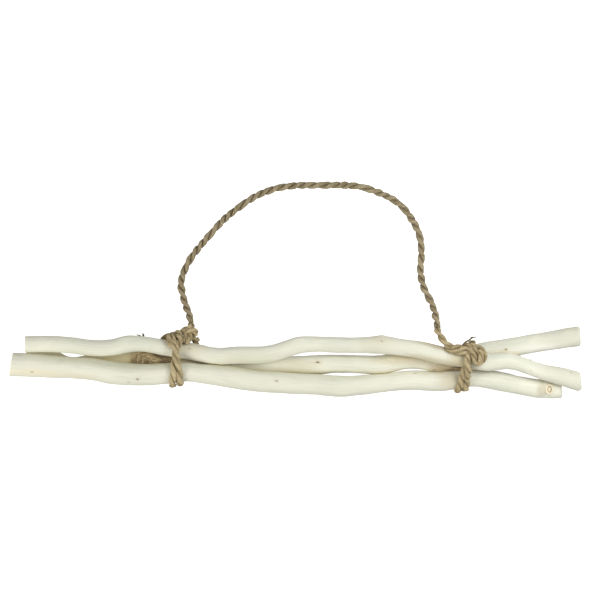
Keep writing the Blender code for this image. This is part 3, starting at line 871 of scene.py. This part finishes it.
def end_grain(name):
    """Sawn wood with year rings, pores and a dark pith."""
    material, tree, shader = new_material(name)
    where = tree.attribute("straight")
    away = tree.vector("LENGTH", tree.vector("MULTIPLY", where, (0.0, 1.0, 1.0)))
    pushed = tree.math("ADD", away, tree.math("MULTIPLY", tree.noise(where, 240.0, 3.0), 0.0022))
    wave = tree.math("SINE", tree.math("MULTIPLY", pushed, 2 * math.pi / YEAR_RING))
    ring = tree.ramp(wave, -0.2, 1.0)
    pores = tree.noise(where, 2600.0, 2.0)
    pith = tree.ramp(away, 0.0013, 0.0006, 0.0, 0.8)
    color = tree.blend(tree.math("MULTIPLY", ring, 0.5), (0.720, 0.640, 0.460),
                       (0.520, 0.410, 0.250))
    color = tree.blend(tree.ramp(pores, 0.52, 0.72, 0.0, 0.35), color, (0.330, 0.250, 0.140))
    color = tree.blend(pith, color, (0.200, 0.130, 0.065))
    tree.fill(shader, Base_Color=color, Roughness=0.8)
    tree.bump(shader, tree.math("ADD", ring, pores), 0.5, 0.0002)
    return material


END_GRAIN = end_grain("sawn_end")
print("end grain:", END_GRAIN.name)

# %% [markdown]
# ## The branches' skin
#
# A branch is one loft: rings of points round the measured middle line. The relief has four
# layers, from large to small: a slightly oval section that turns along the branch, lumps as
# long as a finger, shorter dents, and long shallow ridges where the bark was. Knots swell,
# and the wood is a hair wider at its sides than the solid, whose faces are flat there.
#
# Towards a saw cut every line of points stops on the cutting plane, so a leaning cut stays flat, and
# the last millimetres are rounded, as sandpaper and handling leave them. The rounded rims get painted
# shade, more the further they fall away. Near another branch or the rope the wood gets a painted
# yellow shade, where the shade of the crevice falls: the painted shade value holds both.

# %% Sizes of the skin
AROUND = 80               # points in a ring
RING_EVERY = 1.2          # mm from ring to ring
SIDE_SWELL = 0.35         # how much wider the wood is at its sides than the solid, mm
RIM_ROUND = {"front_branch": (0.9, 4.2), "back_branch": (1.0, 2.8), "lower_branch": (1.2, 2.8)}
RIM_STEPS = np.array((0.0, 0.03, 0.1, 0.22, 0.4, 0.65))
RIM_SHADE_MOST = 0.75            # how much painted shade the rounded rims get
CAP_RINGS = (0.86, 0.68, 0.48, 0.28, 0.1)
# How far from a crevice the wood still gets painted shade, in mm, and how strongly.
CREVICE_SHADE = {"front_branch": (6.0, 0.7), "back_branch": (9.0, 0.8), "lower_branch": (5.0, 0.6)}


# %% How the skin departs from the plain stick
def closeness(points, node):
    """How much painted shade a point gets: most where it touches another solid, falling to 0 a reach
    away.
    """
    reach, most = CREVICE_SHADE[node]
    others = [tree for name, tree in SOLIDS.items() if name != node]
    near = np.zeros(len(points))
    for k, point in enumerate(points):
        spot = Vector(point)
        for tree in others:
            gap = tree.find_nearest(spot, reach * MM)[3]
            if gap is not None:
                near[k] = max(near[k], 1 - gap / (reach * MM))
    return near * most


def relief(s, turn, radius, knots, branch, seed):
    """How far the wood stands out at distance s, in mm. All arrays have one shape."""
    flat = np.stack([s, radius * np.cos(turn), radius * np.sin(turn)], axis=-1).reshape(-1, 3) / MM
    oval = 0.022 * radius / MM * np.cos(2 * turn + 2.2 * np.sin(s / MM / 70.0 + seed))
    lumps = 0.22 * ripple(flat / (26.0, 16.0, 16.0), 1.0, seed)
    dents = 0.10 * ripple(flat / (9.0, 5.0, 5.0), 1.0, seed + 1)
    ridges = 0.055 * ripple(flat / (30.0, 1.5, 1.5), 1.0, seed + 2, 40)
    height = oval + (lumps + dents + ridges).reshape(s.shape)
    straight = flat.reshape(s.shape + (3,)) * MM
    for x, y, long, wide, strength, swell in knots:
        gap = (straight - spot_on(branch, x, y)) / MM
        ahead, sideways = gap[..., 0], gap[..., 1] ** 2 + gap[..., 2] ** 2
        swelling = (ahead / (long * 2.6)) ** 2 + sideways / (wide * 3.2) ** 2
        pit = (ahead / long) ** 2 + sideways / wide ** 2
        height = height + swell * np.exp(-swelling) - 0.3 * strength * np.exp(-pit)
    return height


# %% Rings that end on the saw cuts
def at(branch, s):
    """Middle, radius, level, upright and ahead directions of a branch at distances s."""
    way = branch["along"]
    line, radius = read_off(s, way, branch["line"]), np.interp(s, way, branch["radius"])
    ahead = unit(read_off(s, way, unit(np.gradient(branch["line"], axis=0))))
    return line, radius, *across(ahead), ahead


def end_distance(branch, end, turn):
    """Distance along the branch at which each line of points meets a sawn end's plane."""
    place, normal = branch["ends"][end]
    s = np.full(len(turn), branch["along"][0 if end == 0 else -1])
    for _ in range(4):
        line, radius, level, upright, ahead = at(branch, s)
        point = line + radius[:, None] * spokes(level, upright, turn)
        s = s + ((place - point) @ normal) / (ahead @ normal)
    return s


def ring_shares(node, length):
    """Where the rings are, as shares of the length, how much each loses to its rim, and how much
    painted shade its rim gets.
    """
    start, stop = RIM_ROUND[node]
    inside = np.linspace(start, length - stop, round(length / RING_EVERY))
    way = np.concatenate([RIM_STEPS * start, inside, length - RIM_STEPS[::-1] * stop])
    lost, rim_shade = np.zeros(len(way)), np.zeros(len(way))
    for to_end, rounding in ((way, start), (length - way, stop)):
        missing = np.maximum(0.0, rounding - to_end)
        drop = rounding - np.sqrt(rounding ** 2 - missing ** 2)
        lost, rim_shade = lost + drop, rim_shade + RIM_SHADE_MOST * drop / rounding
    return way / length, lost, rim_shade


# %% Loft a branch
def loft_branch(node, knots, seed):
    """The shape of one branch, with its sawn ends marked for the end grain."""
    branch, turn = BRANCHES[node], full_turn(AROUND)
    first, last = end_distance(branch, 0, turn), end_distance(branch, 1, turn)
    share, lost, rim_shade = ring_shares(node, (last - first).mean() / MM)
    s = first + share[:, None] * (last - first)
    angle = np.broadcast_to(turn, s.shape)
    line, radius, level, upright, _ = at(branch, s)
    wider = SIDE_SWELL * np.cos(turn) ** 2
    out = radius + (relief(s, angle, radius, knots, branch, seed) + wider - lost[:, None]) * MM
    rings = line + out[..., None] * spokes(level, upright, angle)
    straight = np.stack([s, out * np.cos(angle), out * np.sin(angle)], axis=-1)
    # Each cap is a few smaller copies of its rim, in place and in straightened coordinates.
    caps = []
    for row in (0, -1):
        middle = rings[row].mean(axis=0)
        caps.append([(middle + (rings[row] - middle) * size, straight[row] * (1, size, size))
                     for size in CAP_RINGS])
    rows = caps[0][::-1] + list(zip(rings, straight)) + caps[1]
    points, faces = skin(np.stack([place for place, _ in rows]))
    edge = len(CAP_RINGS) * AROUND
    # Painted shade on the rounded rims; the caps get none.
    rim_shade_points = np.pad(np.repeat(rim_shade, AROUND), edge)
    return shape(points, [*np.split(faces[0], (edge, -edge)), *faces[1:]], marks=[1, 0, 1, 1, 1],
                 straight=np.stack([value for _, value in rows]).reshape(-1, 3),
                 closeness=np.maximum(closeness(points, node), rim_shade_points))


# %% [markdown]
# ## The sawn-off twig
#
# On the lower branch a side twig was sawn off almost flush. What is left is an oval collar
# with a dark groove round a light core. A bump in the loft would be too coarse for it, so
# it is a small turned form: a profile of size and height, drawn out to an oval, with an
# uneven rim.

# %% Twig stub
STUB_PLACE = (266.8, -28.6, 19.0)
STUB_HALF = (4.3, 5.5)    # half sizes along the branch and across it
STUB_TOP = 2.7            # how high the cut is above its place
STUB_LEAN = 0.35          # how far the stub leans along the branch for each mm of height
STUB_SIDES = 64
# Each row: size, height and how narrow the oval is. The dark groove is between the cut
# wood and the core.
STUB_PROFILE = [
    (1.60, -4.4, 1.0), (1.28, -2.9, 1.0), (1.12, -1.6, 1.0), (1.03, -0.5, 1.0), (0.97, 0.2, 1.0),
    (0.88, 0.45, 1.0), (0.76, 0.40, 0.95), (0.64, 0.25, 0.85), (0.60, -0.35, 0.75),
    (0.50, -0.45, 0.70), (0.42, 0.05, 0.66), (0.24, 0.25, 0.64), (0.04, 0.3, 0.62),
]


def twig_stub():
    """The stub's shape: its first rows are bark, then collar, groove and core."""
    turn = full_turn(STUB_SIDES)
    rim = 1 + 0.05 * ripple(np.column_stack([np.cos(turn), np.sin(turn)]) * 2, 1.0, 71)
    middle = np.array(STUB_PLACE) + (0.0, 0.0, STUB_TOP)
    rings = []
    for size, height, narrow in STUB_PROFILE:
        x = np.cos(turn) * size * STUB_HALF[0] * rim * narrow + STUB_LEAN * height
        y = np.sin(turn) * size * STUB_HALF[1] * rim
        rings.append(from_bench(middle + np.column_stack([x, y, np.full(STUB_SIDES, height)])))
    points, faces = skin(np.stack(rings), cap_start=False)
    spot = spot_on(BRANCHES["lower_branch"], *STUB_PLACE[:2])
    bark, collar, groove = (rows * STUB_SIDES for rows in (3, 7, 9))
    bands = np.split(faces[0], (bark, collar, groove))
    return shape(points, [*bands, faces[1]], marks=[0, 2, 3, 2, 2],
                 straight=points - from_bench(middle) + spot, closeness=np.zeros(len(points)))


# %% Materials of the stub
def plain_noise_material(name, first, second, scale, roughness):
    """A small dull surface: two colours mixed by noise."""
    material, tree, shader = new_material(name)
    clouds = tree.noise(tree.attribute("straight"), scale, 3.0)
    tree.fill(shader, Base_Color=tree.blend(clouds, first, second), Roughness=roughness)
    return material


CUT_COLLAR = plain_noise_material("twig_collar", (0.86, 0.79, 0.60), (0.74, 0.64, 0.44),
                                  700.0, 0.75)
PITH_GROOVE = plain_noise_material("twig_pith", (0.22, 0.15, 0.08), (0.46, 0.36, 0.22),
                                   1500.0, 0.9)

# %% The three branches
for number, node in enumerate(BRANCHES):
    shapes = [loft_branch(node, KNOTS[node], 101 + 17 * number)]
    materials = [peeled_wood(node), END_GRAIN]
    if node == "lower_branch":
        shapes.append(twig_stub())
        materials += [CUT_COLLAR, PITH_GROOVE]
    piece(node + "_wood", shapes, materials, "peeled_wood", [node])

# %% [markdown]
# ## The lashings' turns
#
# Two turns of rope go round all three branches at each tie, pulled tight. A tight loop
# round several sticks is the convex hull of their slices, so the path is worked out from
# the measured branches. The two turns cross on the visible side, where the second one
# climbs over the first, and they are one closed path, so no end shows. The rope bears on the
# wood, so its section is pressed flat.

# %% Turns of a lashing
# Each row: how far up the visible side, the middle of the two turns along X, and how far
# apart they are. Where that goes below zero, they have crossed.
LEFT_TURNS = [(0.0, -125.3, 8.0), (0.26, -125.2, 7.2), (0.43, -125.4, 5.0), (0.53, -125.7, 1.6),
              (0.62, -126.0, 0.0), (0.73, -126.3, -1.4), (0.82, -126.8, -4.4), (0.9, -127.2, -8.0),
              (1.0, -127.4, -9.0)]
RIGHT_TURNS = [(0.0, 174.0, 7.9), (0.11, 175.9, 6.9), (0.29, 177.7, 5.6), (0.36, 178.9, 4.2),
               (0.45, 179.8, 2.0), (0.55, 180.6, -1.0), (0.75, 181.8, -4.0), (1.0, 182.5, -6.4)]
PRESSED = 0.66            # how flat the rope is where it is pulled against the wood
TURN_REACH = 2.5          # from the wood to the middle of the pressed rope
TURN_POINTS = 60
HALF_ROPE = 2.0           # half of the width that bears on the wood
CROSS_REACH = 4.6         # from middle to middle of two turns that lie on each other
CROSS_SLANT = 0.8         # the share of it that is left, because they cross at a slant


def tight_loop(places, reach):
    """The shortest loop round the branches, kept a reach away from the wood, in mm.

    It starts at the lower side, goes over the top and comes back underneath.
    """
    rim, turn = [], full_turn(90)
    for branch in BRANCHES.values():
        for x in places:
            near = int(np.argmin(np.abs(branch["line"][:, 0] - from_bench((x, 0, 0))[0])))
            _, y, z = branch["line"][near] / MM + BENCH_MARK
            radius = branch["radius"][near] / MM + reach
            rim += zip(y + radius * np.cos(turn), z + radius * np.sin(turn))
    hull = np.array([rim[k] for k in convex_hull_2d(rim)])
    after = np.roll(hull, -1, axis=0)
    if np.dot(hull[:, 0], after[:, 1]) > np.dot(hull[:, 1], after[:, 0]):
        hull = hull[::-1]
    hull = np.roll(hull, -int(np.argmin(hull[:, 0])), axis=0)
    hull = np.vstack([hull, hull[:1]])
    way = distance_along(hull)
    return read_off(np.linspace(0.0, way[-1], TURN_POINTS, endpoint=False), way, hull)


def two_turns(turns):
    """A closed line of two turns, with the outward direction at each of its points."""
    stops, middles, apart = np.array(turns).T
    stations = np.linspace(min(middles) - 5.0, max(middles) + 5.0, 6)
    loops = np.stack([tight_loop((x - HALF_ROPE, x + HALF_ROPE), TURN_REACH) for x in stations])
    centre = loops.mean(axis=(0, 1))
    top = int(np.argmax(loops[:, :, 0].mean(axis=0)))
    over = np.column_stack([middles, apart])
    back = np.array([(middles[-1], apart[-1]), (middles[0], -apart[0])])
    points = []
    for turn, side in enumerate((-1, 1)):
        for k in range(TURN_POINTS):
            lift = 0.0
            if k <= top:
                middle, gap = read_off(k / top, stops, over)
                clear = CROSS_REACH ** 2 - (CROSS_SLANT * gap) ** 2
                lift = turn * CROSS_SLANT * math.sqrt(max(0.0, clear))
            else:
                middle, gap = read_off((k - top) / (TURN_POINTS - top), (0.0, 1.0), back)
            x = middle + side * gap / 2
            place = read_off(x, stations, loops[:, k])
            points.append((x, *(place + unit(place - centre) * lift)))
    line = from_bench(smooth_line(points + points[:1], RING_STEP))
    outward = line - from_bench((0.0, *centre))
    return line, unit(outward * (0.0, 1.0, 1.0))


# %% [markdown]
# ## The knots
#
# Each knot is a few short runs of the same rope, laid over the turns. Nobody sees where a run starts,
# because it starts under another run. Tying a real knot in the computer would take a rope simulation.
# A handful of runs, each on its own smooth line, gives the same look, and each can be moved on its
# own. Runs that lie deep get painted shade. The neck is the run that leaves the knot and becomes the
# carrying loop.

# %% Runs of the knots: girth, painted shade where the run lies deep, and a line
LEFT_RUNS = {
    "left_fold": (0.84, 0.0, [
        (-128.4, 15.6, 38.6), (-130.6, 18.6, 38.4), (-132.2, 22, 37.2), (-132.8, 25.4, 35.2),
        (-131.8, 28.2, 31.5), (-130, 29.6, 27)]),
    "right_fold": (0.92, 0.0, [
        (-125.2, 13.5, 39.6), (-123.4, 16.6, 39.8), (-122.0, 20.4, 39.2), (-121.2, 24.6, 37.6),
        (-121.8, 28.2, 35), (-123.4, 30.4, 30.6), (-125, 30.6, 26.5)]),
    "between_folds": (0.72, 0.2, [
        (-128.6, 29.6, 27), (-128.0, 27.6, 33.5), (-127.2, 24, 36.4), (-126.4, 19.4, 38.4),
        (-126, 15.5, 38.8)]),
    "behind_folds": (0.80, 0.75, [
        (-133, 22.4, 27.5), (-128.5, 24, 28), (-124, 24.6, 28.4), (-119.5, 25.6, 29)]),
    "behind_strands": (0.92, 0.70, [
        (-121, 24.6, 29), (-116.5, 24.4, 29.6), (-112.4, 26, 29.8), (-109, 28.6, 30)]),
    "front_loop": (0.80, 0.0, [
        (-117.5, 30.5, 31), (-115, 32.5, 34.5), (-111, 33.2, 36.8), (-107, 33.0, 37.2),
        (-104.6, 31.6, 35.2), (-104.8, 29.6, 32.4), (-106.6, 28.4, 30)]),
    "hanging_strand": (0.64, 0.0, [
        (-112.5, 31, 33), (-111, 29.4, 35), (-110.5, 26.8, 35.4), (-111.2, 24, 35),
        (-113.2, 21.4, 35.4), (-115.6, 19.4, 36)]),
    "middle_strand": (0.50, 0.15, [
        (-113.4, 32, 32.5), (-113.3, 29, 34.4), (-113.6, 25.6, 34.8), (-114.6, 22, 35),
        (-116.2, 18.8, 36)]),
    "thin_strand": (0.48, 0.0, [
        (-116.2, 33, 34.5), (-116.1, 30, 36), (-116.3, 27, 36.4), (-116.8, 24, 36.2),
        (-117.8, 20.4, 36.6)]),
    "short_tail": (1.0, 0.75, [
        (-111.5, 30.4, 29.5), (-109.2, 28.2, 26), (-106.8, 25.4, 22), (-104.8, 22.4, 17),
        (-103.4, 19.6, 12.5)]),
}
RIGHT_RUNS = {
    "lower_lay": (0.74, 0.0, [
        (157, 16, 41.5), (162.5, 12.4, 45.2), (169.5, 10.8, 47.4), (176, 10.2, 49),
        (182.5, 8.4, 49)]),
    "first_wrap": (0.84, 0.0, [
        (178.6, 18, 44.5), (181.4, 15.3, 48.8), (184.3, 11, 52), (186.8, 6, 53), (188.3, 1.6, 51),
        (189.4, -2, 46.5)]),
    "second_wrap": (0.70, 0.0, [
        (182.5, 19, 43), (185.2, 16.6, 47), (188.2, 13, 50), (190, 8.6, 50.5), (190.6, 4.5, 49)]),
    "outer_coil": (0.84, 0.1, [
        (187, 14.2, 44), (190.5, 15, 47), (194.6, 13.4, 48.6), (197.4, 9.8, 49), (197.8, 5.6, 49),
        (195.6, 1.4, 48.4), (192.4, -1.2, 47.4), (188.4, -2.2, 46.4)]),
    "inner_coil": (0.82, 0.0, [
        (189.8, 10.6, 49), (192.8, 9.6, 51.8), (194.2, 6.4, 52.6), (193, 2.8, 52),
        (190.2, 0.8, 50.4)]),
}
LEFT_NECK = [(-140.2, 22.2, 17), (-138.0, 24.6, 20.5), (-134, 27.0, 23), (-129, 27.9, 24),
             (-124.5, 28.4, 25.5), (-120.4, 30.2, 28.5), (-116.8, 32.8, 31), (-113.4, 35.4, 31.6)]
RIGHT_NECK = [(185.5, 10, 47.5), (179, 13, 48.5), (172, 14.8, 46), (164, 15.6, 43.6),
              (157.5, 19.2, 41.5), (153, 25.5, 38.5)]
NECK_GIRTH = 0.96
KNOT_DIRT = 0.22          # knots are handled most, so they are darker than the turns
RUN_TAPER = 3.0           # a run thins out over this much at both ends


# %% The two lashings
def bench_line(points):
    """A smooth line of frame points, fine enough for rope, through bench points."""
    return from_bench(smooth_line(points, RING_STEP))


def neck(points, exit_point, way):
    """A run that ends straight at the exit and meets the carrying loop."""
    way, exit_point = unit(np.array(way)), np.array(exit_point)
    return list(points) + [exit_point - way * 3.0, exit_point + way * GAP]


def lashing(turns, slack, runs, neck_points, seed):
    """The turns, the knot's runs and the run that becomes the carrying loop."""
    line, outward = two_turns(turns)
    made = lay_rope(line, start=(1.0, 0.0, 0.0), flat=PRESSED, outward=outward, seed=seed,
                    slack=slack)
    for number, (girth, dirt_and_shade, points) in enumerate(runs.values()):
        made += lay_rope(bench_line(points), seed=seed + 10 + 5 * number, girth=girth,
                         dirt_and_shade=dirt_and_shade + KNOT_DIRT, taper=RUN_TAPER)
    return made + lay_rope(bench_line(neck_points), seed=seed + 40, girth=NECK_GIRTH,
                           dirt_and_shade=KNOT_DIRT, taper=RUN_TAPER)


# Each tie: its turns, their slack, its knot's runs, its neck and the seed of its rope.
TIES = {
    "left_lashing": (LEFT_TURNS, 1.35, LEFT_RUNS, neck(LEFT_NECK, LEFT_EXIT, LEFT_WAY), 201),
    "right_lashing": (RIGHT_TURNS, 1.0, RIGHT_RUNS, neck(RIGHT_NECK, RIGHT_EXIT, RIGHT_WAY), 301),
}
for name, tie in TIES.items():
    piece(name + "_rope", lashing(*tie), [TIED_JUTE], "jute_rope", [name])

# %% [markdown]
# ## The frayed rope end
#
# Under the left tie the rope's end has come apart. It lies in the groove between the front
# and the lower branch and opens into a fan of crimped fibres. Six guide lines say where the
# fan goes, and each of its fibres lies somewhere between two of them, with waves of its own.
#
# The fan is three layers. A dark mat fills it and casts its own shade, a few thick yarns on it keep
# the crimp that they had in the rope, and fine light fibres lie on top. All of them get painted shade,
# most near the tie, where they lie deep in the groove.

# %% Guides of the fan
FAN = [
    [(-129, 3.6, 31), (-137.5, 5.0, 29.5), (-144.5, 5.8, 27.5), (-151, 8.4, 24), (-157.5, 10.8, 22),
     (-163.5, 11, 21.5), (-168.5, 9.8, 21.6), (-170.8, 6.5, 22), (-170.5, 1.5, 23)],
    [(-129, 3, 31.4), (-138.5, 3.6, 29.8), (-145, 4.2, 28), (-151, 6.2, 25.6), (-156.5, 9.2, 23.4),
     (-162.5, 9.6, 22.8), (-166.5, 7.5, 22.8), (-168.5, 3.5, 23), (-168, -1.5, 25)],
    [(-129, 2.4, 31.6), (-138.5, 2.5, 30), (-145.5, 2.5, 28.6), (-151, 4, 26.8), (-156, 7.4, 24.8),
     (-161, 8.0, 23.8), (-164.5, 6, 23.4), (-166, 2, 23.6), (-165, -2, 25.5)],
    [(-129, 1.6, 31.4), (-138.5, 1.5, 30), (-145.5, 1.4, 28.8), (-151.5, 2.4, 27.2),
     (-155.5, 5.4, 25.6), (-159.5, 5.6, 24.4), (-162, 3.5, 23.8), (-162.5, 0, 24), (-162, -2.5, 25.5)],
    [(-129, 1.0, 31), (-138.5, 0.4, 29.8), (-145.5, -0.2, 28.8), (-151.5, 0.8, 27.4),
     (-155, 2.6, 26), (-158, 2.6, 24.8), (-159.6, 0.6, 24.4), (-159, -2.4, 25.5)],
    [(-129, 0.5, 30.5), (-138.5, -0.8, 29.6), (-145.5, -1.6, 28.8), (-152, -1.4, 27), (-156, 0, 25),
     (-159.5, 0, 24.2), (-162.5, -0.6, 24), (-165.5, -1.6, 24.4)],
]
FAN_POINTS = 60
# How much painted shade the fan gets at some shares of its length.
FAN_SHADE = np.interp(np.linspace(0.0, 1.0, FAN_POINTS), (0.0, 0.35, 0.6), (1.0, 0.95, 0.45))
# Each layer: how many, how high it lies, thickness, how much darker, height of the crimp, how
# unevenly they are spread, and the seed.
FAN_LAYERS = [
    (110, -1.1, 0.8, 0.12, 0.15, 0.45, 410),
    (9, 0.3, 1.1, -0.05, 0.40, 0.15, 417),
    (26, 0.5, 0.5, -0.25, 0.25, 0.45, 424),
]
CRIMP = 2.3               # length of a crimp's wave


def even_points(points, count):
    """A smooth line through the points, as that many evenly spaced points."""
    line = smooth_line(points, 0.5)
    way = distance_along(line)
    return read_off(np.linspace(0.0, way[-1], count), way, line)


# %% The fan
def frayed_fan():
    """A dark mat of fibres, and lighter yarns and fibres on it that keep their crimp."""
    draw = np.random.default_rng(401)
    guides = np.stack([even_points(guide, FAN_POINTS) for guide in FAN])
    open_up = np.linspace(0.0, 1.0, FAN_POINTS) ** 0.7
    made = []
    for count, rise, thick, darker, crimp, loose, seed in FAN_LAYERS:
        lines = []
        for number in range(count):
            u = (number + 0.5 + draw.uniform(-loose, loose)) / count * (len(FAN) - 1.001)
            k, t = int(u), u - int(u)
            line = guides[k] * (1 - t) + guides[k + 1] * t
            reach = draw.uniform(0.55, 1.0) if number % 3 else 1.0
            line = even_points(line[:max(8, round(FAN_POINTS * reach))], FAN_POINTS)
            way = distance_along(line)
            place = np.column_stack([way / 4.4, np.full(FAN_POINTS, u * 1.1)])
            for axis, size in ((0, 0.25), (1, 0.35), (2, 0.3)):
                shared = ripple(place, 1.0, 430 + axis)
                own = ripple(way[:, None], 6.0, seed + 7 * number + axis, 8)
                line[:, axis] += (shared + 0.4 * own) * size * open_up
            line[:, 1] += crimp * np.sin(2 * math.pi * way / CRIMP + u) * open_up
            lines.append(from_bench(line + draw.normal(0.0, 0.15, 3) + (0.0, 0.0, rise)))
        width = thick * draw.uniform(0.75, 1.2, (count, 1)) * np.linspace(1.0, 0.7, FAN_POINTS)
        made.append(fibres(np.stack(lines), width, sides=6, seed=seed + 1, dark=FAN_SHADE + darker))
    return made


piece("frayed_rope_end", frayed_fan(), [FRAYED_JUTE], "jute_rope")

# %% [markdown]
# ## Loose tips and lint
#
# A few wisps lie apart from the rope. The far tips of the frayed end pass under the front branch and
# look out above it, dark partly in their own colour and partly as painted shade. Two wisps stand out
# of the right knot, a dark bunch left of the right tie fills the shaded groove as painted shade, lint
# lies beside the tie, and one splinter stands off the front branch. Each is a bunch of thin fibres
# round a guide line.

# %% Bunches: fibres round each guide line, thickness, darkness and the guide lines
BUNCHES = {
    # Dark partly in their own colour, partly painted shade: they lie under the front branch.
    "far tips": ((22, 24), 1.25, 0.9, [
        [(-157, 10.5, 19.5), (-160, 19.5, 17.0), (-162.6, 26.0, 20), (-164.4, 28.0, 22.5),
         (-167.8, 28.4, 23.5)],
        [(-156, 12, 18.5), (-158.8, 20, 16.8), (-160.6, 26.6, 20.5), (-159.8, 29.4, 23),
         (-162.2, 30.4, 23.5)]]),
    "right knot": ((18, 12), 1.25, 0.9, [
        [(173.5, 15.5, 46), (175.6, 18.4, 44.5), (177.8, 21.0, 43), (180.8, 22.2, 42),
         (184.6, 25.4, 41), (190.4, 26.0, 40)],
        [(178.8, 16.5, 47), (181.4, 19.8, 45), (184.4, 21.4, 43.5), (187.6, 22.4, 42)]]),
    # Painted shade: a dark bunch that fills the shaded groove between the back and the lower branch.
    "shade fibres left of the tie": ((26, 24), 1.2, 0.6, [
        [(152, -4.5, 21), (160, -6.0, 21.5), (168, -7.0, 22), (177, -7.8, 22.5)],
        [(160, -6.6, 20), (166, -7.4, 20.5), (172, -7.6, 21), (179, -8.0, 21.5)]]),
    "lint right of the tie": ((18,), 1.2, 0.1, [
        [(174, -7.6, 20.5), (182, -7.8, 20), (190, -8.2, 19.5), (198, -8.8, 19)]]),
    "splinter": ((3,), 1.0, 0.9, [[(246.2, 0.0, 28.5), (246.9, 2.6, 29), (246.6, 4.9, 29.4)]]),
    "wisp below the tie": ((14,), 1.2, 0.6, [
        [(171.5, -29.0, 12), (168.0, -28.6, 11.5), (164.0, -26.6, 11)]]),
}
BUNCH_POINTS = 30


def bunch(counts, thick, dark, guides):
    """Fibres that wander a little round each guide line, some of them shorter."""
    draw = np.random.default_rng(451)
    lines = []
    for guide, count in zip(guides, counts):
        for number in range(count):
            line = even_points(guide, BUNCH_POINTS)
            reach = round(BUNCH_POINTS * draw.uniform(0.75, 1.0))
            line = even_points(line[:reach], BUNCH_POINTS)
            spread = draw.normal(0.0, 0.4, 3)
            slow = ripple(distance_along(line)[:, None], 5.0, 460 + number + 40 * count, 8)
            lines.append(from_bench(line + spread + np.outer(slow, draw.normal(0.0, 0.35, 3))))
    width = thick * draw.uniform(0.35, 0.65, (len(lines), 1)) * np.linspace(1.0, 0.6, BUNCH_POINTS)
    return fibres(np.stack(lines), width, sides=5, seed=452, dark=dark)


piece("frayed_tips", [bunch(*row) for row in BUNCHES.values()], [FRAYED_JUTE], "jute_rope")


# %% Fuzz on the lashings
def lashing_fuzz(turns, runs, seed):
    """Hairs on the turns and on each run of the knot."""
    made = [fuzz(two_turns(turns)[0], 260, seed, longest=3.5)]
    for number, (_, _, points) in enumerate(runs.values()):
        made.append(fuzz(bench_line(points), 45, seed + 10 + number, longest=4.0))
    return made


for (name, tie), seed in zip(TIES.items(), (501, 551)):
    piece(name + "_fuzz", lashing_fuzz(tie[0], tie[2], seed), [TIED_JUTE], "jute_rope")

# %% [markdown]
# ## Table and light
#
# The bundle lies on a plain white table in soft light. Most of the light comes from all
# round, as in a light tent. Two large soft lamps hang over the ends, one to the lower left
# and one to the upper right, and model the branches a little. The table glows for the
# camera alone, so that it stays white without throwing extra light up under the branches.

# %% Table
TABLE_HALF = 15.0         # half of the table's width, in metres
TABLE_WHITE = 0.58
TABLE_GLOW = 1.0
table_mesh = bpy.data.meshes.new("table")
sheet = bmesh.new()
bmesh.ops.create_grid(sheet, x_segments=1, y_segments=1, size=TABLE_HALF)
sheet.to_mesh(table_mesh)
sheet.free()
into_scene("table", table_mesh)
table_paint, paint, base = new_material("table_white")
seen = paint.add("ShaderNodeLightPath").outputs["Is Camera Ray"]
paint.fill(base, Base_Color=(TABLE_WHITE,) * 3, Roughness=1.0, Specular_IOR_Level=0.0,
           Emission_Color=(1.0, 1.0, 1.0),
           Emission_Strength=paint.math("MULTIPLY", seen, TABLE_GLOW))
table_mesh.materials.append(table_paint)
print("table:", table_paint.name)

# %% Light tent and lamps
TENT_STRENGTH = 0.49
LAMP_SIZE = 0.55
# Each lamp: where it hangs, the spot that it points at, its power in watts and its colour.
LAMPS = {
    "left_lamp": ((-0.84, -0.40, 0.60), (-0.24, 0.0, 0.03), 5.4, (1.0, 0.985, 0.95)),
    "right_lamp": ((0.62, 0.16, 0.66), (0.24, 0.0, 0.03), 4.7, (0.97, 0.98, 1.0)),
}
world = bpy.data.worlds.new("light_tent")
bpy.context.scene.world = world
world.use_nodes = True
air = Tree(world.node_tree)
split = air.fill(air.add("ShaderNodeSeparateXYZ"),
                 air.add("ShaderNodeTexCoord").outputs["Generated"])
toward_loop = air.ramp(split["Y"], -0.9, 0.9)
air.fill(world.node_tree.nodes["Background"], Strength=TENT_STRENGTH,
         Color=air.blend(toward_loop, (1.0, 1.0, 0.97), (0.95, 0.96, 0.94)))

for name, (place, aim, watts, color) in LAMPS.items():
    lamp_data = bpy.data.lights.new(name, "AREA")
    lamp_data.shape, lamp_data.size = "DISK", LAMP_SIZE
    lamp_data.energy, lamp_data.color = watts, color
    lamp = into_scene(name, lamp_data)
    lamp.location = place
    lamp.rotation_euler = (Vector(aim) - Vector(place)).to_track_quat("-Z", "Y").to_euler()
print("lamps:", ", ".join(LAMPS))
